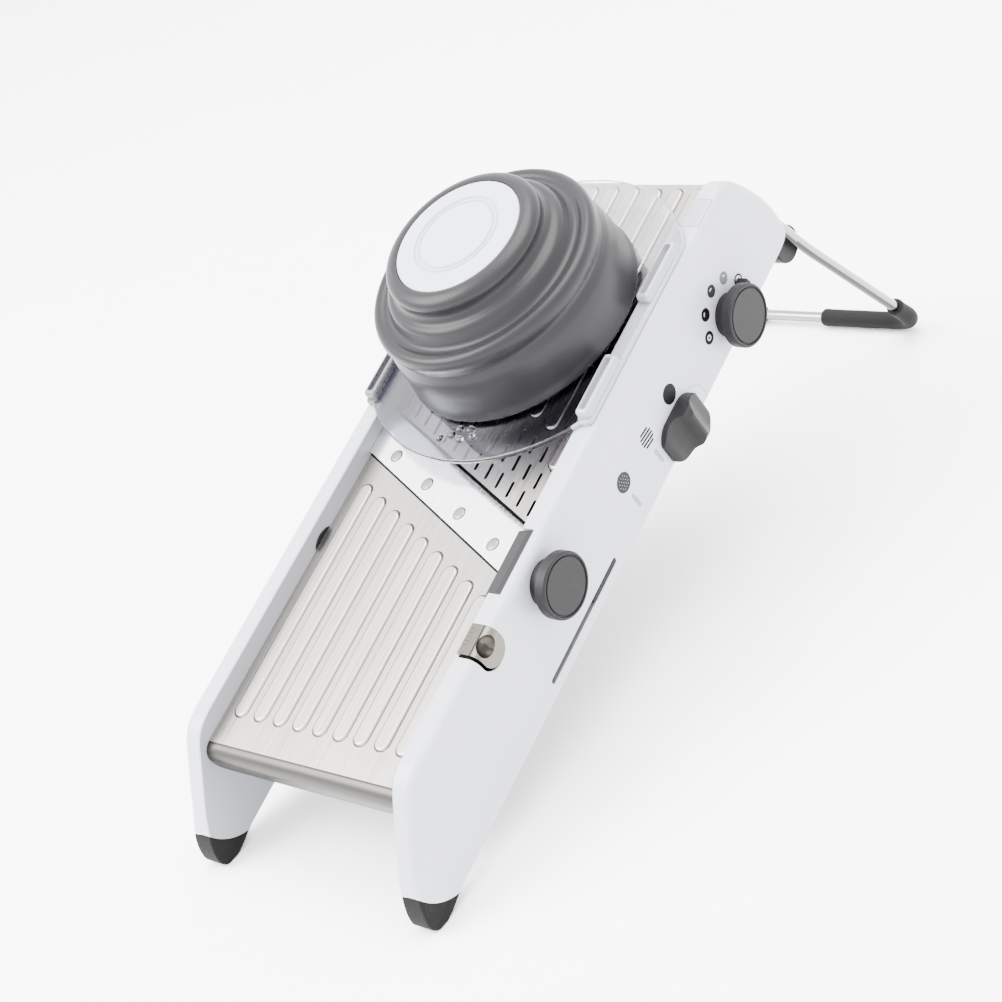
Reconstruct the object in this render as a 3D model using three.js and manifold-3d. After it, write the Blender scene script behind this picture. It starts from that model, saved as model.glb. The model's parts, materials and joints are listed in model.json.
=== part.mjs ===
// Adjustable mandoline slicer on a folding wire stand.
//
// Everything is laid out in the "deck frame": +X to the right across the slicer,
// +Y up along the slicing deck, +Z square to the deck, with Z = 0 on the
// surface of the lower deck. The deck group is then tilted onto its feet.
// All lengths are millimetres.

import * as THREE from "three";
import { mergeVertices } from "three/addons/utils/BufferGeometryUtils.js";
import Module from "manifold-3d";

const wasm = await Module();
wasm.setup();

// ---------------------------------------------------------------- dimensions

const GAP = 0.3; // running clearance between neighbouring pieces
const TILT = THREE.MathUtils.degToRad(18.9); // slope of the deck in use

// Side rails
const OUTER_X = 69.5; // half the width over both rails
const RAIL_THICKNESS = 11.3;
const INNER_X = OUTER_X - RAIL_THICKNESS;
const RAIL_TOP = 8.8;
const RAIL_BOTTOM = -46.2;
const RAIL_ROUNDING = 4.5; // rounding of the outer edges, top and ends
const UNDERSIDE_SPARE = 2.7; // part of that rounding which the underside cuts away

// Decks
const SHEET = 1.2; // stainless sheet thickness
const DECK_HALF_WIDTH = INNER_X - GAP;
const LIP_Y = -16; // where the lower deck starts to roll over
const LIP_RADIUS = 6.5;
const LIP_BOTTOM = -11.5;
const RIB_PITCH = 12.2;
const RIB_WIDTH = 7.6;
const RIB_HEIGHT = 0.9;
const RIB_COUNT = 9;
const BLADE_SLOPE = -0.466; // slope of the blade across the deck, about 25 degrees
const RUN_IN_TOP = -1.0;
const RUN_IN_END_Y = 299;

// Blade: where its back and its cutting edge cross the centre line
const BLADE_BACK_Y = 110.2;
const BLADE_EDGE_Y = 133.9;
const BLADE_BOTTOM = GAP;
const BLADE_TOP = 1.5;
const BLADE_RIGHT_X = 57.6;
const RIVET_RADIUS = 3.0;
const RIVET_PITCH = 26.9;
const RIVET_LINE_Y = 117.5;

// Julienne slots in the upper deck
const SLOT_PITCH = 8.35;
const SLOT_LENGTH = 8.3;
const SLOT_WIDTH = 1.6;
const SLOT_ROWS = 3;
const SLOT_ROW_Y = 142.3;
const SLOT_ROW_STEP = 11.6;

// Controls on the right rail
const KNOB_RADIUS = 14.5;
const KNOB_NECK_RADIUS = 10.2;
const KNOB_NECK = 6.3;
const KNOB_HEIGHT = 11.7;
const DIAL_CENTRE = [250.4, -33];
const DIAL_POINTER_ANGLE = 14.6; // degrees from the uphill direction
const BLADE_KNOB_CENTRE = [89.1, -6.9];
const LOCK_SLOT = { from: 59.3, to: 122.6, z: -39.2, width: 2.8, depth: 3.2 };
const LOCK_BAR_LENGTH = 21.7;
const SLIDER = { from: 177, to: 207, bottom: -49.3, top: -28, base: 4.5, ridge: 10.5 };
const GRIP = { from: 72.4, to: 104.3, inner: 52.8, outer: 64.8, bottom: 1.8, top: 8.4 };
const TAB_DISC = { centre: [50.2, 2.1], radius: 7.2, travel: 1.3 };

// Food holder: clear carriage with a sprung pusher on top
const HOLDER_Y = 209.8;
const BRIM_FAR = { y: 211.5, radius: 80.3 };
const BRIM_NEAR = { y: 218, radius: 87 };
const BRIM_BOTTOM = 9.2;
const BRIM_TOP = 11.4;
const COLLAR_RADIUS = 46;
const COLLAR_WALL = 2.4;
const COLLAR_TOP = 45;
const WING = { from: 157, to: 255, inner: 59, outer: 67.2 };
const CAP_RADIUS = 31;
const CAP_Z = 69.2;

// Stand
const WIRE_RADIUS = 2.75;
const SLEEVE_RADIUS = 4.7;
const SLEEVE_REACH = { right: 43, left: 3 }; // along the base from each corner
const LEG_X = 54.4;
const PIVOT = [299, -26];
const LEG_TOP = [313.5, -34];
const LEG_BEND = [325.2, -75.4];
const LEG_FOOT = [363.5, -183];
const HINGE_END = [320.6, -68.8];

// ----------------------------------------------------------------- materials

const material = (color, roughness, metalness = 0) =>
  new THREE.MeshStandardMaterial({ color, roughness, metalness });

const whitePlastic = material(0xe4e6ea, 0.35);
const greyPlastic = material(0x66656a, 0.5);
const darkPlastic = material(0x3c3c3f, 0.5);
const rubber = material(0x4a4946, 0.8);
const brushedSteel = material(0xdcd8d2, 0.32, 1);
const polishedSteel = material(0xf2f2f2, 0.12, 1);
const wireSteel = material(0xc9c9c7, 0.2, 1);
const clearPlastic = new THREE.MeshStandardMaterial({
  color: 0xdfe6ee,
  roughness: 0.08,
  metalness: 0,
  transparent: true,
  opacity: 0.35,
});

// ------------------------------------------------------------- solid helpers

function toSolid(geometry) {
  const bare = new THREE.BufferGeometry();
  bare.setAttribute("position", geometry.getAttribute("position"));
  if (geometry.index) bare.setIndex(geometry.index);
  const merged = mergeVertices(bare, 1e-4);
  const mesh = new wasm.Mesh({
    numProp: 3,
    vertProperties: new Float32Array(merged.getAttribute("position").array),
    triVerts: new Uint32Array(merged.index.array),
  });
  return new wasm.Manifold(mesh);
}

function toGeometry(solid) {
  const mesh = solid.getMesh();
  const geometry = new THREE.BufferGeometry();
  geometry.setAttribute("position", new THREE.BufferAttribute(mesh.vertProperties, 3));
  geometry.setIndex(new THREE.BufferAttribute(mesh.triVerts, 1));
  geometry.computeVertexNormals();
  return geometry;
}

// Box given by its lowest and highest corner.
function block(low, high) {
  const size = high.map((value, axis) => value - low[axis]);
  const geometry = new THREE.BoxGeometry(...size);
  geometry.translate(...low.map((value, axis) => value + size[axis] / 2));
  return toSolid(geometry);
}

function shapeFrom(points) {
  return new THREE.Shape(points.map(([x, y]) => new THREE.Vector2(x, y)));
}

// Outline in the plan view (x, y), extruded from bottom to top along Z.
function planPlate(shape, bottom, top, curveSegments = 6) {
  const options = { depth: top - bottom, bevelEnabled: false, curveSegments };
  const geometry = new THREE.ExtrudeGeometry(shape, options);
  geometry.translate(0, 0, bottom);
  return toSolid(geometry);
}

// Outline in the side view (y, z), extruded from x0 to x1.
const SIDE_TO_DECK = new THREE.Matrix4().makeBasis(
  new THREE.Vector3(0, 1, 0),
  new THREE.Vector3(0, 0, 1),
  new THREE.Vector3(1, 0, 0),
);

function sidePlate(shape, x0, x1, curveSegments = 6) {
  const options = { depth: x1 - x0, bevelEnabled: false, curveSegments };
  const geometry = new THREE.ExtrudeGeometry(shape, options);
  geometry.translate(0, 0, x0);
  geometry.applyMatrix4(SIDE_TO_DECK);
  return toSolid(geometry);
}

// Solid of revolution about an upright axis through (0, y); profile is [radius, z].
function turnedUpright(profile, y, segments) {
  const points = profile.map(([radius, z]) => new THREE.Vector2(radius, z));
  const geometry = new THREE.LatheGeometry(points, segments);
  geometry.rotateX(Math.PI / 2);
  geometry.translate(0, y, 0);
  return toSolid(geometry);
}

// Solid of revolution about an axis along X; profile is [radius, x].
function turnedAcross(profile, [y, z], segments) {
  const points = profile.map(([radius, x]) => new THREE.Vector2(radius, x));
  const geometry = new THREE.LatheGeometry(points, segments);
  geometry.rotateZ(-Math.PI / 2);
  geometry.translate(0, y, z);
  return toSolid(geometry);
}

const pinAcross = (radius, x0, x1, centre, segments = 16) =>
  turnedAcross([[0, x0], [radius, x0], [radius, x1], [0, x1]], centre, segments);

// Long shape with round ends, from (x0, y0) to (x1, y1).
function stadium([x0, y0], [x1, y1], radius, steps = 6) {
  const along = Math.atan2(y1 - y0, x1 - x0);
  const points = [];
  const addEnd = (cx, cy, start) => {
    for (let step = 0; step <= steps; step += 1) {
      const angle = start + (Math.PI * step) / steps;
      points.push([cx + radius * Math.cos(angle), cy + radius * Math.sin(angle)]);
    }
  };
  addEnd(x1, y1, along - Math.PI / 2);
  addEnd(x0, y0, along + Math.PI / 2);
  return shapeFrom(points);
}

// Round bar along a polyline of points, closed at both ends.
function bar(path, radius, sides) {
  const positions = [];
  const index = [];
  const up = new THREE.Vector3();
  const side = new THREE.Vector3();
  path.forEach((point, row) => {
    const before = path[Math.max(row - 1, 0)];
    const after = path[Math.min(row + 1, path.length - 1)];
    const along = after.clone().sub(before).normalize();
    const reference = new THREE.Vector3(0, Math.cos(1.2), Math.sin(1.2));
    if (Math.abs(along.dot(reference)) > 0.9) reference.set(1, 0, 0);
    side.crossVectors(along, row === 0 ? reference : up).normalize();
    up.crossVectors(side, along).normalize();
    for (let k = 0; k < sides; k += 1) {
      const angle = (2 * Math.PI * k) / sides;
      const corner = point.clone();
      corner.addScaledVector(side, radius * Math.cos(angle));
      corner.addScaledVector(up, radius * Math.sin(angle));
      positions.push(corner.x, corner.y, corner.z);
    }
  });
  const last = (path.length - 1) * sides;
  for (let row = 0; row + 1 < path.length; row += 1) {
    for (let k = 0; k < sides; k += 1) {
      const next = (k + 1) % sides;
      const [a, b] = [row * sides + k, row * sides + next];
      index.push(a, b, b + sides, a, b + sides, a + sides);
    }
  }
  for (let k = 1; k + 1 < sides; k += 1) {
    index.push(0, k + 1, k, last, last + k, last + k + 1);
  }
  const geometry = new THREE.BufferGeometry();
  geometry.setAttribute("position", new THREE.Float32BufferAttribute(positions, 3));
  geometry.setIndex(index);
  const solid = toSolid(geometry);
  return solid.volume() < 0 ? toSolid(flipped(geometry)) : solid;
}

function flipped(geometry) {
  const turned = geometry.clone();
  const index = Array.from(turned.index.array);
  for (let k = 0; k < index.length; k += 3) {
    [index[k], index[k + 1]] = [index[k + 1], index[k]];
  }
  turned.setIndex(index);
  return turned;
}

// Copy of a solid moved, turned or mirrored by a matrix.
function transformed(solid, matrix) {
  const geometry = toGeometry(solid).applyMatrix4(matrix);
  return toSolid(matrix.determinant() < 0 ? flipped(geometry) : geometry);
}

const shifted = (solid, x, y, z) =>
  transformed(solid, new THREE.Matrix4().makeTranslation(x, y, z));
const mirrored = (solid) => transformed(solid, new THREE.Matrix4().makeScale(-1, 1, 1));
const unionOf = (solids) => solids.reduce((whole, solid) => whole.add(solid));

const deck = new THREE.Group();
deck.name = "deck_frame";

function addPiece(name, solid, look) {
  const mesh = new THREE.Mesh(toGeometry(solid), look);
  mesh.name = name;
  deck.add(mesh);
  return mesh;
}

// --------------------------------------------------------------------- rails

// Height of a deck-frame point above the table, measured from the deck origin.
const heightOf = ([y, z]) => y * Math.sin(TILT) + z * Math.cos(TILT);
const TABLE = heightOf(LEG_FOOT) - SLEEVE_RADIUS;

// Everything below the table top, to give the rubber feet their flat pads.
function belowTable() {
  const geometry = new THREE.BoxGeometry(400, 800, 60);
  geometry.translate(0, 0, TABLE - 30);
  geometry.rotateX(-TILT);
  return toSolid(geometry);
}

const FRONT_EDGE = [[-6, 8.7], [-12.4, 7.8], [-16.8, 6.0], [-20.8, 3.0], [-30.5, -6.8],
  [-43.4, -20.4], [-49.6, -28.6]];
const FOOT_EDGE = [[-53, -34.5], [-54.7, -39.6], [-54.6, -43], [-52.8, -45.8], [-49.4, -47.4],
  [-44.8, -47.9], [-39.5, -47.2]];
const REAR_EDGE = [[301, -45.8], [306.4, -43.9], [309.8, -38.4], [310, -30], [307, -16.2],
  [300.4, -1.2], [295.6, 5.2], [290, 8.2]];
const UNDERSIDE_Z = -32; // outline points below this belong to the underside

function railOutline(spare) {
  const outline = [[-33, RAIL_BOTTOM], [292, RAIL_BOTTOM], ...REAR_EDGE, [283, RAIL_TOP],
    [0, RAIL_TOP], ...FRONT_EDGE, ...FOOT_EDGE];
  return shapeFrom(outline.map(([y, z]) => [y, z < UNDERSIDE_Z ? z - spare : z]));
}

// Right rail and its foot as one solid, rounded along the outer edges only. The
// underside cuts the rounding short, so its edge is much crisper than the top's.
function roundedRail() {
  const geometry = new THREE.ExtrudeGeometry(railOutline(UNDERSIDE_SPARE), {
    depth: RAIL_THICKNESS - RAIL_ROUNDING,
    bevelThickness: RAIL_ROUNDING,
    bevelSize: RAIL_ROUNDING,
    bevelOffset: -RAIL_ROUNDING,
    bevelSegments: 3,
  });
  geometry.translate(0, 0, INNER_X);
  geometry.applyMatrix4(SIDE_TO_DECK);
  const trueOutline = sidePlate(railOutline(0), INNER_X, OUTER_X + 1);
  return toSolid(geometry).intersect(trueOutline).subtract(belowTable());
}

// The seam between rail and rubber foot is a shallow arc.
function footSeam(offset) {
  const seam = new THREE.Shape();
  seam.moveTo(-60, -24 - offset);
  seam.lineTo(-49.3 - offset, -25.5 - offset);
  seam.quadraticCurveTo(-46.5 - offset, -40 - offset, -34.5 - offset, -46.5 - offset);
  seam.lineTo(-30 - offset, -56);
  seam.lineTo(-64, -64);
  return seam;
}

const railBlank = roundedRail();
const footBlank = sidePlate(footSeam(GAP), 0, OUTER_X + 5);
const footCap = railBlank.intersect(footBlank);
const plainRail = railBlank.subtract(sidePlate(footSeam(0), 0, OUTER_X + 5));

// Small filler piece let into the rail top near the upper end.
const insertBlock = (grow) =>
  block([INNER_X - 1, 266.6 - grow, 6.2 - grow], [OUTER_X - 2.2 + grow, 282 + grow, 12]);
const railInsert = plainRail.intersect(insertBlock(0));

// Release tab: a plate on the rail top that turns down over the outer edge.
function releaseBlock(grow, travel) {
  const [y, z] = TAB_DISC.centre;
  const [y0, y1] = [y - TAB_DISC.radius - grow - travel, y + TAB_DISC.radius + grow];
  const inside = OUTER_X - 4.5 - grow;
  const top = block([INNER_X - 1, y0, RAIL_TOP - 2.2 - grow], [OUTER_X - 3, y1, 20]);
  const disc = (at) => pinAcross(TAB_DISC.radius + grow, inside, OUTER_X + 5, [at, z], 24);
  const skirt = block([inside, y0, z], [OUTER_X + 5, y1, 20]);
  return unionOf([top, disc(y), disc(y - travel), skirt]);
}

const fingerDimple = toSolid(new THREE.SphereGeometry(5.4, 16, 10).translate(70.6, 49.3, 7.6));
const releaseTab = plainRail.intersect(releaseBlock(0, 0)).subtract(fingerDimple);

// Notch along the inner edge of the rail top, which holds the grip.
const gripNotch = block(
  [INNER_X - 1, GRIP.from - GAP, GRIP.bottom - GAP],
  [GRIP.outer + GAP, GRIP.to + GAP, 20],
);

const lockSlot = sidePlate(
  stadium(
    [LOCK_SLOT.from + 1.4, LOCK_SLOT.z],
    [LOCK_SLOT.to - 1.4, LOCK_SLOT.z],
    LOCK_SLOT.width / 2,
    4,
  ),
  OUTER_X - LOCK_SLOT.depth,
  OUTER_X + 5,
);

const rightRail = plainRail
  .subtract(insertBlock(GAP))
  .subtract(releaseBlock(GAP, TAB_DISC.travel))
  .subtract(gripNotch)
  .subtract(lockSlot);
const leftRail = mirrored(plainRail.subtract(insertBlock(GAP)));

addPiece("right_rail", rightRail, whitePlastic);
addPiece("left_rail", leftRail, whitePlastic);
addPiece("right_foot_cap", footCap, rubber);
addPiece("left_foot_cap", mirrored(footCap), rubber);
addPiece("right_rail_insert", railInsert, whitePlastic);
addPiece("left_rail_insert", mirrored(railInsert), whitePlastic);
addPiece("release_tab", releaseTab, brushedSteel);

// Plastic cross members that tie the rails together under the decks.
const bridge = (y0, y1, z0, z1) =>
  block([-DECK_HALF_WIDTH, y0, z0], [DECK_HALF_WIDTH, y1, z1]);
addPiece("front_bridge", bridge(-15, -5, -10, -SHEET - GAP), whitePlastic);
addPiece("middle_bridge", bridge(62, 76, -9, -SHEET - GAP), whitePlastic);
addPiece("rear_bridge", bridge(278, 289, -15, -8), whitePlastic);

// --------------------------------------------------------------------- decks

const diagonalY = (yAtCentre, x) => yAtCentre + BLADE_SLOPE * x;

// Plan outline between two diagonals or straight ends across the full deck width.
function deckOutline(lowerAt, upperAt, halfWidth = DECK_HALF_WIDTH) {
  return shapeFrom([
    [-halfWidth, lowerAt(-halfWidth)],
    [halfWidth, lowerAt(halfWidth)],
    [halfWidth, upperAt(halfWidth)],
    [-halfWidth, upperAt(-halfWidth)],
  ]);
}

function ribs(z, lowerAt, upperAt) {
  const radius = RIB_WIDTH / 2;
  const solids = [];
  for (let k = 0; k < RIB_COUNT; k += 1) {
    const x = (k - (RIB_COUNT - 1) / 2) * RIB_PITCH;
    const outline = stadium([x, lowerAt(x) + radius], [x, upperAt(x) - radius], radius, 5);
    solids.push(planPlate(outline, z - 0.4, z + RIB_HEIGHT));
  }
  return unionOf(solids);
}

function lowerDeck() {
  const sheet = new THREE.Shape();
  const centre = [LIP_Y, -LIP_RADIUS];
  sheet.moveTo(150, 0);
  sheet.lineTo(LIP_Y, 0);
  sheet.absarc(...centre, LIP_RADIUS, Math.PI / 2, Math.PI, false);
  sheet.lineTo(LIP_Y - LIP_RADIUS, LIP_BOTTOM);
  sheet.lineTo(LIP_Y - LIP_RADIUS + SHEET, LIP_BOTTOM);
  sheet.lineTo(LIP_Y - LIP_RADIUS + SHEET, -LIP_RADIUS);
  sheet.absarc(...centre, LIP_RADIUS - SHEET, Math.PI, Math.PI / 2, true);
  sheet.lineTo(150, -SHEET);
  const rolled = sidePlate(sheet, -DECK_HALF_WIDTH, DECK_HALF_WIDTH, 5);
  const beyond = deckOutline((x) => diagonalY(BLADE_EDGE_Y - 5, x), () => 200, 80);
  const raised = ribs(0, () => -2.2, (x) => diagonalY(97.5, x));
  return rolled.subtract(planPlate(beyond, -5, 5)).add(raised);
}

addPiece("run_out_deck", lowerDeck(), brushedSteel);

const slotX = (row, k) => 48.2 - (row % 2) * (SLOT_PITCH / 2) - k * SLOT_PITCH;
const slotY = (row, x) => diagonalY(SLOT_ROW_Y + row * SLOT_ROW_STEP, x);

function slotCentres() {
  const centres = [];
  for (let row = 0; row < SLOT_ROWS; row += 1) {
    for (let k = 0; slotX(row, k) > -52; k += 1) {
      const x = slotX(row, k);
      centres.push([x, slotY(row, x)]);
    }
  }
  return centres;
}

function boxesAt(centres, width, length, z0, z1) {
  const [w, l] = [width / 2, length / 2];
  return unionOf(centres.map(([x, y]) => block([x - w, y - l, z0], [x + w, y + l, z1])));
}

function upperDeck() {
  const outline = deckOutline(
    (x) => diagonalY(BLADE_EDGE_Y + 1.8, x),
    () => RUN_IN_END_Y,
  );
  const sheet = planPlate(outline, RUN_IN_TOP - SHEET, RUN_IN_TOP);
  const raised = ribs(RUN_IN_TOP, (x) => diagonalY(162.5, x) + 14, () => 296);
  const edgeRib = planPlate(
    stadium([4 * RIB_PITCH, 144], [4 * RIB_PITCH, 170], RIB_WIDTH / 2, 5),
    RUN_IN_TOP - 0.4,
    RUN_IN_TOP + RIB_HEIGHT,
  );
  const slots = boxesAt(slotCentres(), SLOT_WIDTH, SLOT_LENGTH, -5, 5);
  return sheet.add(raised).add(edgeRib).subtract(slots);
}

addPiece("run_in_deck", upperDeck(), brushedSteel);
const hingeRod = pinAcross(1.6, -DECK_HALF_WIDTH, DECK_HALF_WIDTH, [294, -4.4], 10);
addPiece("run_in_hinge_rod", hingeRod, wireSteel);

// Julienne comb: a slanted bar under the slots with one tooth for each of them.
function julienneComb() {
  const halfWidth = 54;
  const base = planPlate(
    deckOutline(
      (x) => slotY(0, x) - 5,
      (x) => slotY(SLOT_ROWS - 1, x) + 5,
      halfWidth,
    ),
    -12.5,
    -9.5,
  );
  return base.add(boxesAt(slotCentres(), 0.9, SLOT_LENGTH - 1.6, -10, -2.4));
}

addPiece("julienne_comb", julienneComb(), polishedSteel);

// --------------------------------------------------------------------- blade

const rivetCentres = [-1.5, -0.5, 0.5, 1.5].map((step) => {
  const x = step * RIVET_PITCH;
  return [x, diagonalY(RIVET_LINE_Y, x)];
});

function roundStud(radius, [x, y], z0, z1, crown = 0) {
  const profile = [[0, z0], [radius, z0], [radius, z1]];
  if (crown) profile.push([radius * 0.72, z1 + crown]);
  profile.push([0, z1 + crown]);
  return shifted(turnedUpright(profile, 0, 20), x, y, 0);
}

function bladeStrip() {
  const outline = shapeFrom([
    [-DECK_HALF_WIDTH, diagonalY(BLADE_BACK_Y, -DECK_HALF_WIDTH)],
    [BLADE_RIGHT_X, diagonalY(BLADE_BACK_Y, BLADE_RIGHT_X)],
    [BLADE_RIGHT_X, diagonalY(BLADE_EDGE_Y, BLADE_RIGHT_X)],
    [-DECK_HALF_WIDTH, diagonalY(BLADE_EDGE_Y, -DECK_HALF_WIDTH)],
  ]);
  const strip = planPlate(outline, BLADE_BOTTOM, BLADE_TOP);
  // Ground bevel along the cutting edge.
  const wedge = new THREE.BoxGeometry(240, 12, 6);
  wedge.translate(0, 6, 3);
  wedge.rotateX(THREE.MathUtils.degToRad(-20));
  wedge.translate(0, -3.1, BLADE_TOP);
  wedge.rotateZ(Math.atan(BLADE_SLOPE));
  wedge.translate(0, BLADE_EDGE_Y, 0);
  const holes = unionOf(rivetCentres.map((at) => roundStud(RIVET_RADIUS + GAP, at, -1, 3)));
  return strip.subtract(toSolid(wedge)).subtract(holes);
}

addPiece("slicing_blade", bladeStrip(), polishedSteel);
rivetCentres.forEach((at, k) => {
  const rivet = roundStud(RIVET_RADIUS, at, GAP, BLADE_TOP + 0.15, 0.3);
  addPiece(`blade_rivet_${k + 1}`, rivet, brushedSteel);
});

// Grip over the right end of the blade, rising into the notch in the rail.
function bladeGrip() {
  const profile = new THREE.Shape();
  profile.moveTo(GRIP.inner, GRIP.bottom);
  profile.lineTo(GRIP.outer, GRIP.bottom);
  profile.lineTo(GRIP.outer, GRIP.top);
  profile.lineTo(INNER_X + 3.5, GRIP.top);
  profile.quadraticCurveTo(GRIP.inner + 2.4, GRIP.top - 1.4, GRIP.inner, GRIP.bottom + 0.8);
  const options = { depth: GRIP.to - GRIP.from, bevelEnabled: false, curveSegments: 5 };
  const geometry = new THREE.ExtrudeGeometry(profile, options);
  geometry.rotateX(Math.PI / 2);
  geometry.translate(0, GRIP.to, 0);
  return toSolid(geometry);
}

addPiece("blade_grip", bladeGrip(), greyPlastic);
const bladeStop = block([-INNER_X + GAP, 81, GAP], [-INNER_X + 1.1, 98, 2.2]);
addPiece("blade_stop", bladeStop, darkPlastic);

// ------------------------------------------------- controls on the right rail

function knob(centre) {
  const start = OUTER_X + GAP;
  const face = OUTER_X + KNOB_HEIGHT;
  const profile = [
    [0, start],
    [KNOB_NECK_RADIUS, start],
    [KNOB_NECK_RADIUS, OUTER_X + KNOB_NECK],
    [KNOB_RADIUS - 0.6, OUTER_X + KNOB_NECK],
    [KNOB_RADIUS, OUTER_X + KNOB_NECK + 0.8],
    [KNOB_RADIUS, face - 1.2],
    [KNOB_RADIUS - 1.2, face],
    [KNOB_RADIUS - 1.4, face],
    [KNOB_RADIUS - 1.6, face - 0.8],
    [KNOB_RADIUS - 2.1, face - 0.8],
    [KNOB_RADIUS - 2.4, face],
    [0, face],
  ];
  return turnedAcross(profile, centre, 32);
}

// Rectangle on the rail face, pointing away from the dial centre.
function dialPointer() {
  const pointer = new THREE.BoxGeometry(KNOB_NECK + 1.2, 6, 4.4);
  pointer.translate(OUTER_X + GAP + (KNOB_NECK + 1.2) / 2, KNOB_RADIUS, 0);
  pointer.rotateX(THREE.MathUtils.degToRad(DIAL_POINTER_ANGLE));
  pointer.translate(0, ...DIAL_CENTRE);
  return toSolid(pointer);
}

addPiece("thickness_dial", knob(DIAL_CENTRE).add(dialPointer()), greyPlastic);
addPiece("blade_knob", knob(BLADE_KNOB_CENTRE), greyPlastic);

// Bar that travels in the long slot below the blade knob.
const barEnd = LOCK_SLOT.to - 1.4 - GAP;
const lockBar = sidePlate(
  stadium(
    [barEnd - LOCK_BAR_LENGTH + 2.2, LOCK_SLOT.z],
    [barEnd, LOCK_SLOT.z],
    LOCK_SLOT.width / 2 - GAP,
    4,
  ),
  OUTER_X - LOCK_SLOT.depth + GAP,
  OUTER_X + 0.4,
);
addPiece("blade_lock_bar", lockBar, darkPlastic);

// Thumb slide: long base with a ridge across it, hooked under the rail.
function thumbSlide() {
  const { from, to, bottom, top, base, ridge } = SLIDER;
  const middle = (from + to) / 2 + 1;
  const profile = new THREE.Shape();
  profile.moveTo(from, GAP);
  profile.lineTo(to, GAP);
  profile.lineTo(to, base - 0.6);
  profile.quadraticCurveTo(to - 1.5, base + 2, to - 4.5, base + 2.4);
  profile.quadraticCurveTo(middle + 4, ridge - 1.6, middle + 1.6, ridge - 0.2);
  profile.quadraticCurveTo(middle - 0.6, ridge + 0.5, middle - 1.8, ridge - 1.4);
  profile.quadraticCurveTo(middle - 4.6, base - 0.2, from + 2.5, base - 0.8);
  profile.lineTo(from, base - 2);
  const options = { depth: top - bottom, bevelEnabled: false, curveSegments: 4 };
  const geometry = new THREE.ExtrudeGeometry(profile, options);
  // The profile is (y, height off the rail); its extrusion runs down in Z.
  geometry.applyMatrix4(new THREE.Matrix4().makeBasis(
    new THREE.Vector3(0, 1, 0),
    new THREE.Vector3(1, 0, 0),
    new THREE.Vector3(0, 0, -1),
  ));
  geometry.translate(OUTER_X, 0, top);
  const radius = 9;
  const outline = stadium(
    [from + radius, (top + bottom) / 2],
    [to - radius, (top + bottom) / 2],
    (top - bottom) / 2,
    8,
  );
  const bounds = sidePlate(outline, OUTER_X, OUTER_X + ridge + 5);
  const lever = toSolid(geometry).intersect(bounds);
  const hook = block(
    [OUTER_X - 8, from + 7, bottom + 0.2],
    [OUTER_X + base - 1, to - 7, RAIL_BOTTOM - GAP],
  );
  return lever.add(hook);
}

addPiece("julienne_slider", thumbSlide(), greyPlastic);

// --------------------------------------------------------------- food holder

// Lens-shaped plate: the near edge is a flatter arc than the far one, and the two
// sides end over the rails.
function brimPlate() {
  const disc = ({ y, radius }) => {
    const outline = new THREE.Shape();
    outline.absarc(0, y, radius, 0, 2 * Math.PI, false);
    const opening = new THREE.Path();
    opening.absarc(0, HOLDER_Y, COLLAR_RADIUS - COLLAR_WALL, 0, 2 * Math.PI, true);
    outline.holes.push(opening);
    return planPlate(outline, BRIM_BOTTOM, BRIM_TOP, 24);
  };
  const sides = block([-WING.outer, 0, 0], [WING.outer, 400, 40]);
  return disc(BRIM_FAR).intersect(disc(BRIM_NEAR)).intersect(sides);
}

// Bar that rides on the rail top, with two raised hollow lugs for the fingers.
function wing() {
  const { from, to, inner, outer } = WING;
  const strip = block([inner, from, BRIM_BOTTOM], [outer, to, BRIM_TOP]);
  const lug = (y) => {
    const body = block([inner + 0.8, y, BRIM_TOP - 0.5], [outer - 0.4, y + 32, BRIM_TOP + 4.2]);
    const pocket = block([inner + 2.6, y + 2, BRIM_TOP + 0.8], [outer - 2.2, y + 30, 40]);
    return body.subtract(pocket);
  };
  return unionOf([strip, lug(from + 2), lug(to - 34)]);
}

// Little moulded dots on the front of the brim, for grip.
function gripDots() {
  const places = [[-10, 1], [-4, 3.2], [2, 1.4], [8, 3.4], [-1, 6.6], [5, 7]];
  return unionOf(places.map(([x, y]) => {
    const dot = new THREE.SphereGeometry(1.9, 8, 6);
    dot.scale(1, 1, 0.8);
    dot.translate(x, 141 + y, BRIM_TOP);
    return toSolid(dot);
  }));
}

const collar = turnedUpright([
  [COLLAR_RADIUS - COLLAR_WALL, BRIM_BOTTOM],
  [COLLAR_RADIUS, BRIM_BOTTOM],
  [COLLAR_RADIUS, COLLAR_TOP],
  [COLLAR_RADIUS - COLLAR_WALL, COLLAR_TOP],
  [COLLAR_RADIUS - COLLAR_WALL, BRIM_BOTTOM],
], HOLDER_Y, 40);

const carriage = unionOf([brimPlate(), wing(), mirrored(wing()), collar, gripDots()]);
addPiece("food_carriage", carriage, clearPlastic);

// Bell-shaped pusher: rippled outside, hollow inside to clear the collar.
const BELL_OUTSIDE = [
  [58.8, 12.6], [59.2, 13.8], [58.1, 18.5], [57.6, 29], [56.6, 35.6], [55.2, 39.8],
  [55.4, 42.4], [56.2, 46.2], [55.2, 49], [52.8, 50.5], [49.8, 49.7], [47.6, 49.7],
  [45.6, 52.4], [44, 55.4], [41.2, 57.1], [38.8, 59.6], [38.6, 64.4], [37.2, 67.4],
  [34, 69], [31.8, 69],
];
const BELL_INSIDE = [
  [31.8, 66.2], [0, 66.2], [0, 62.6], [34, 62.6], [36.2, 57.4], [41.8, 53.4], [44.4, 47.8],
  [50.6, 47.4], [52.8, 45.4], [52.8, 40], [54.8, 33], [56.6, 12.6],
];
const bell = turnedUpright([...BELL_INSIDE.slice(2), ...BELL_OUTSIDE, ...BELL_INSIDE.slice(0, 2)],
  HOLDER_Y, 40);
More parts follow.
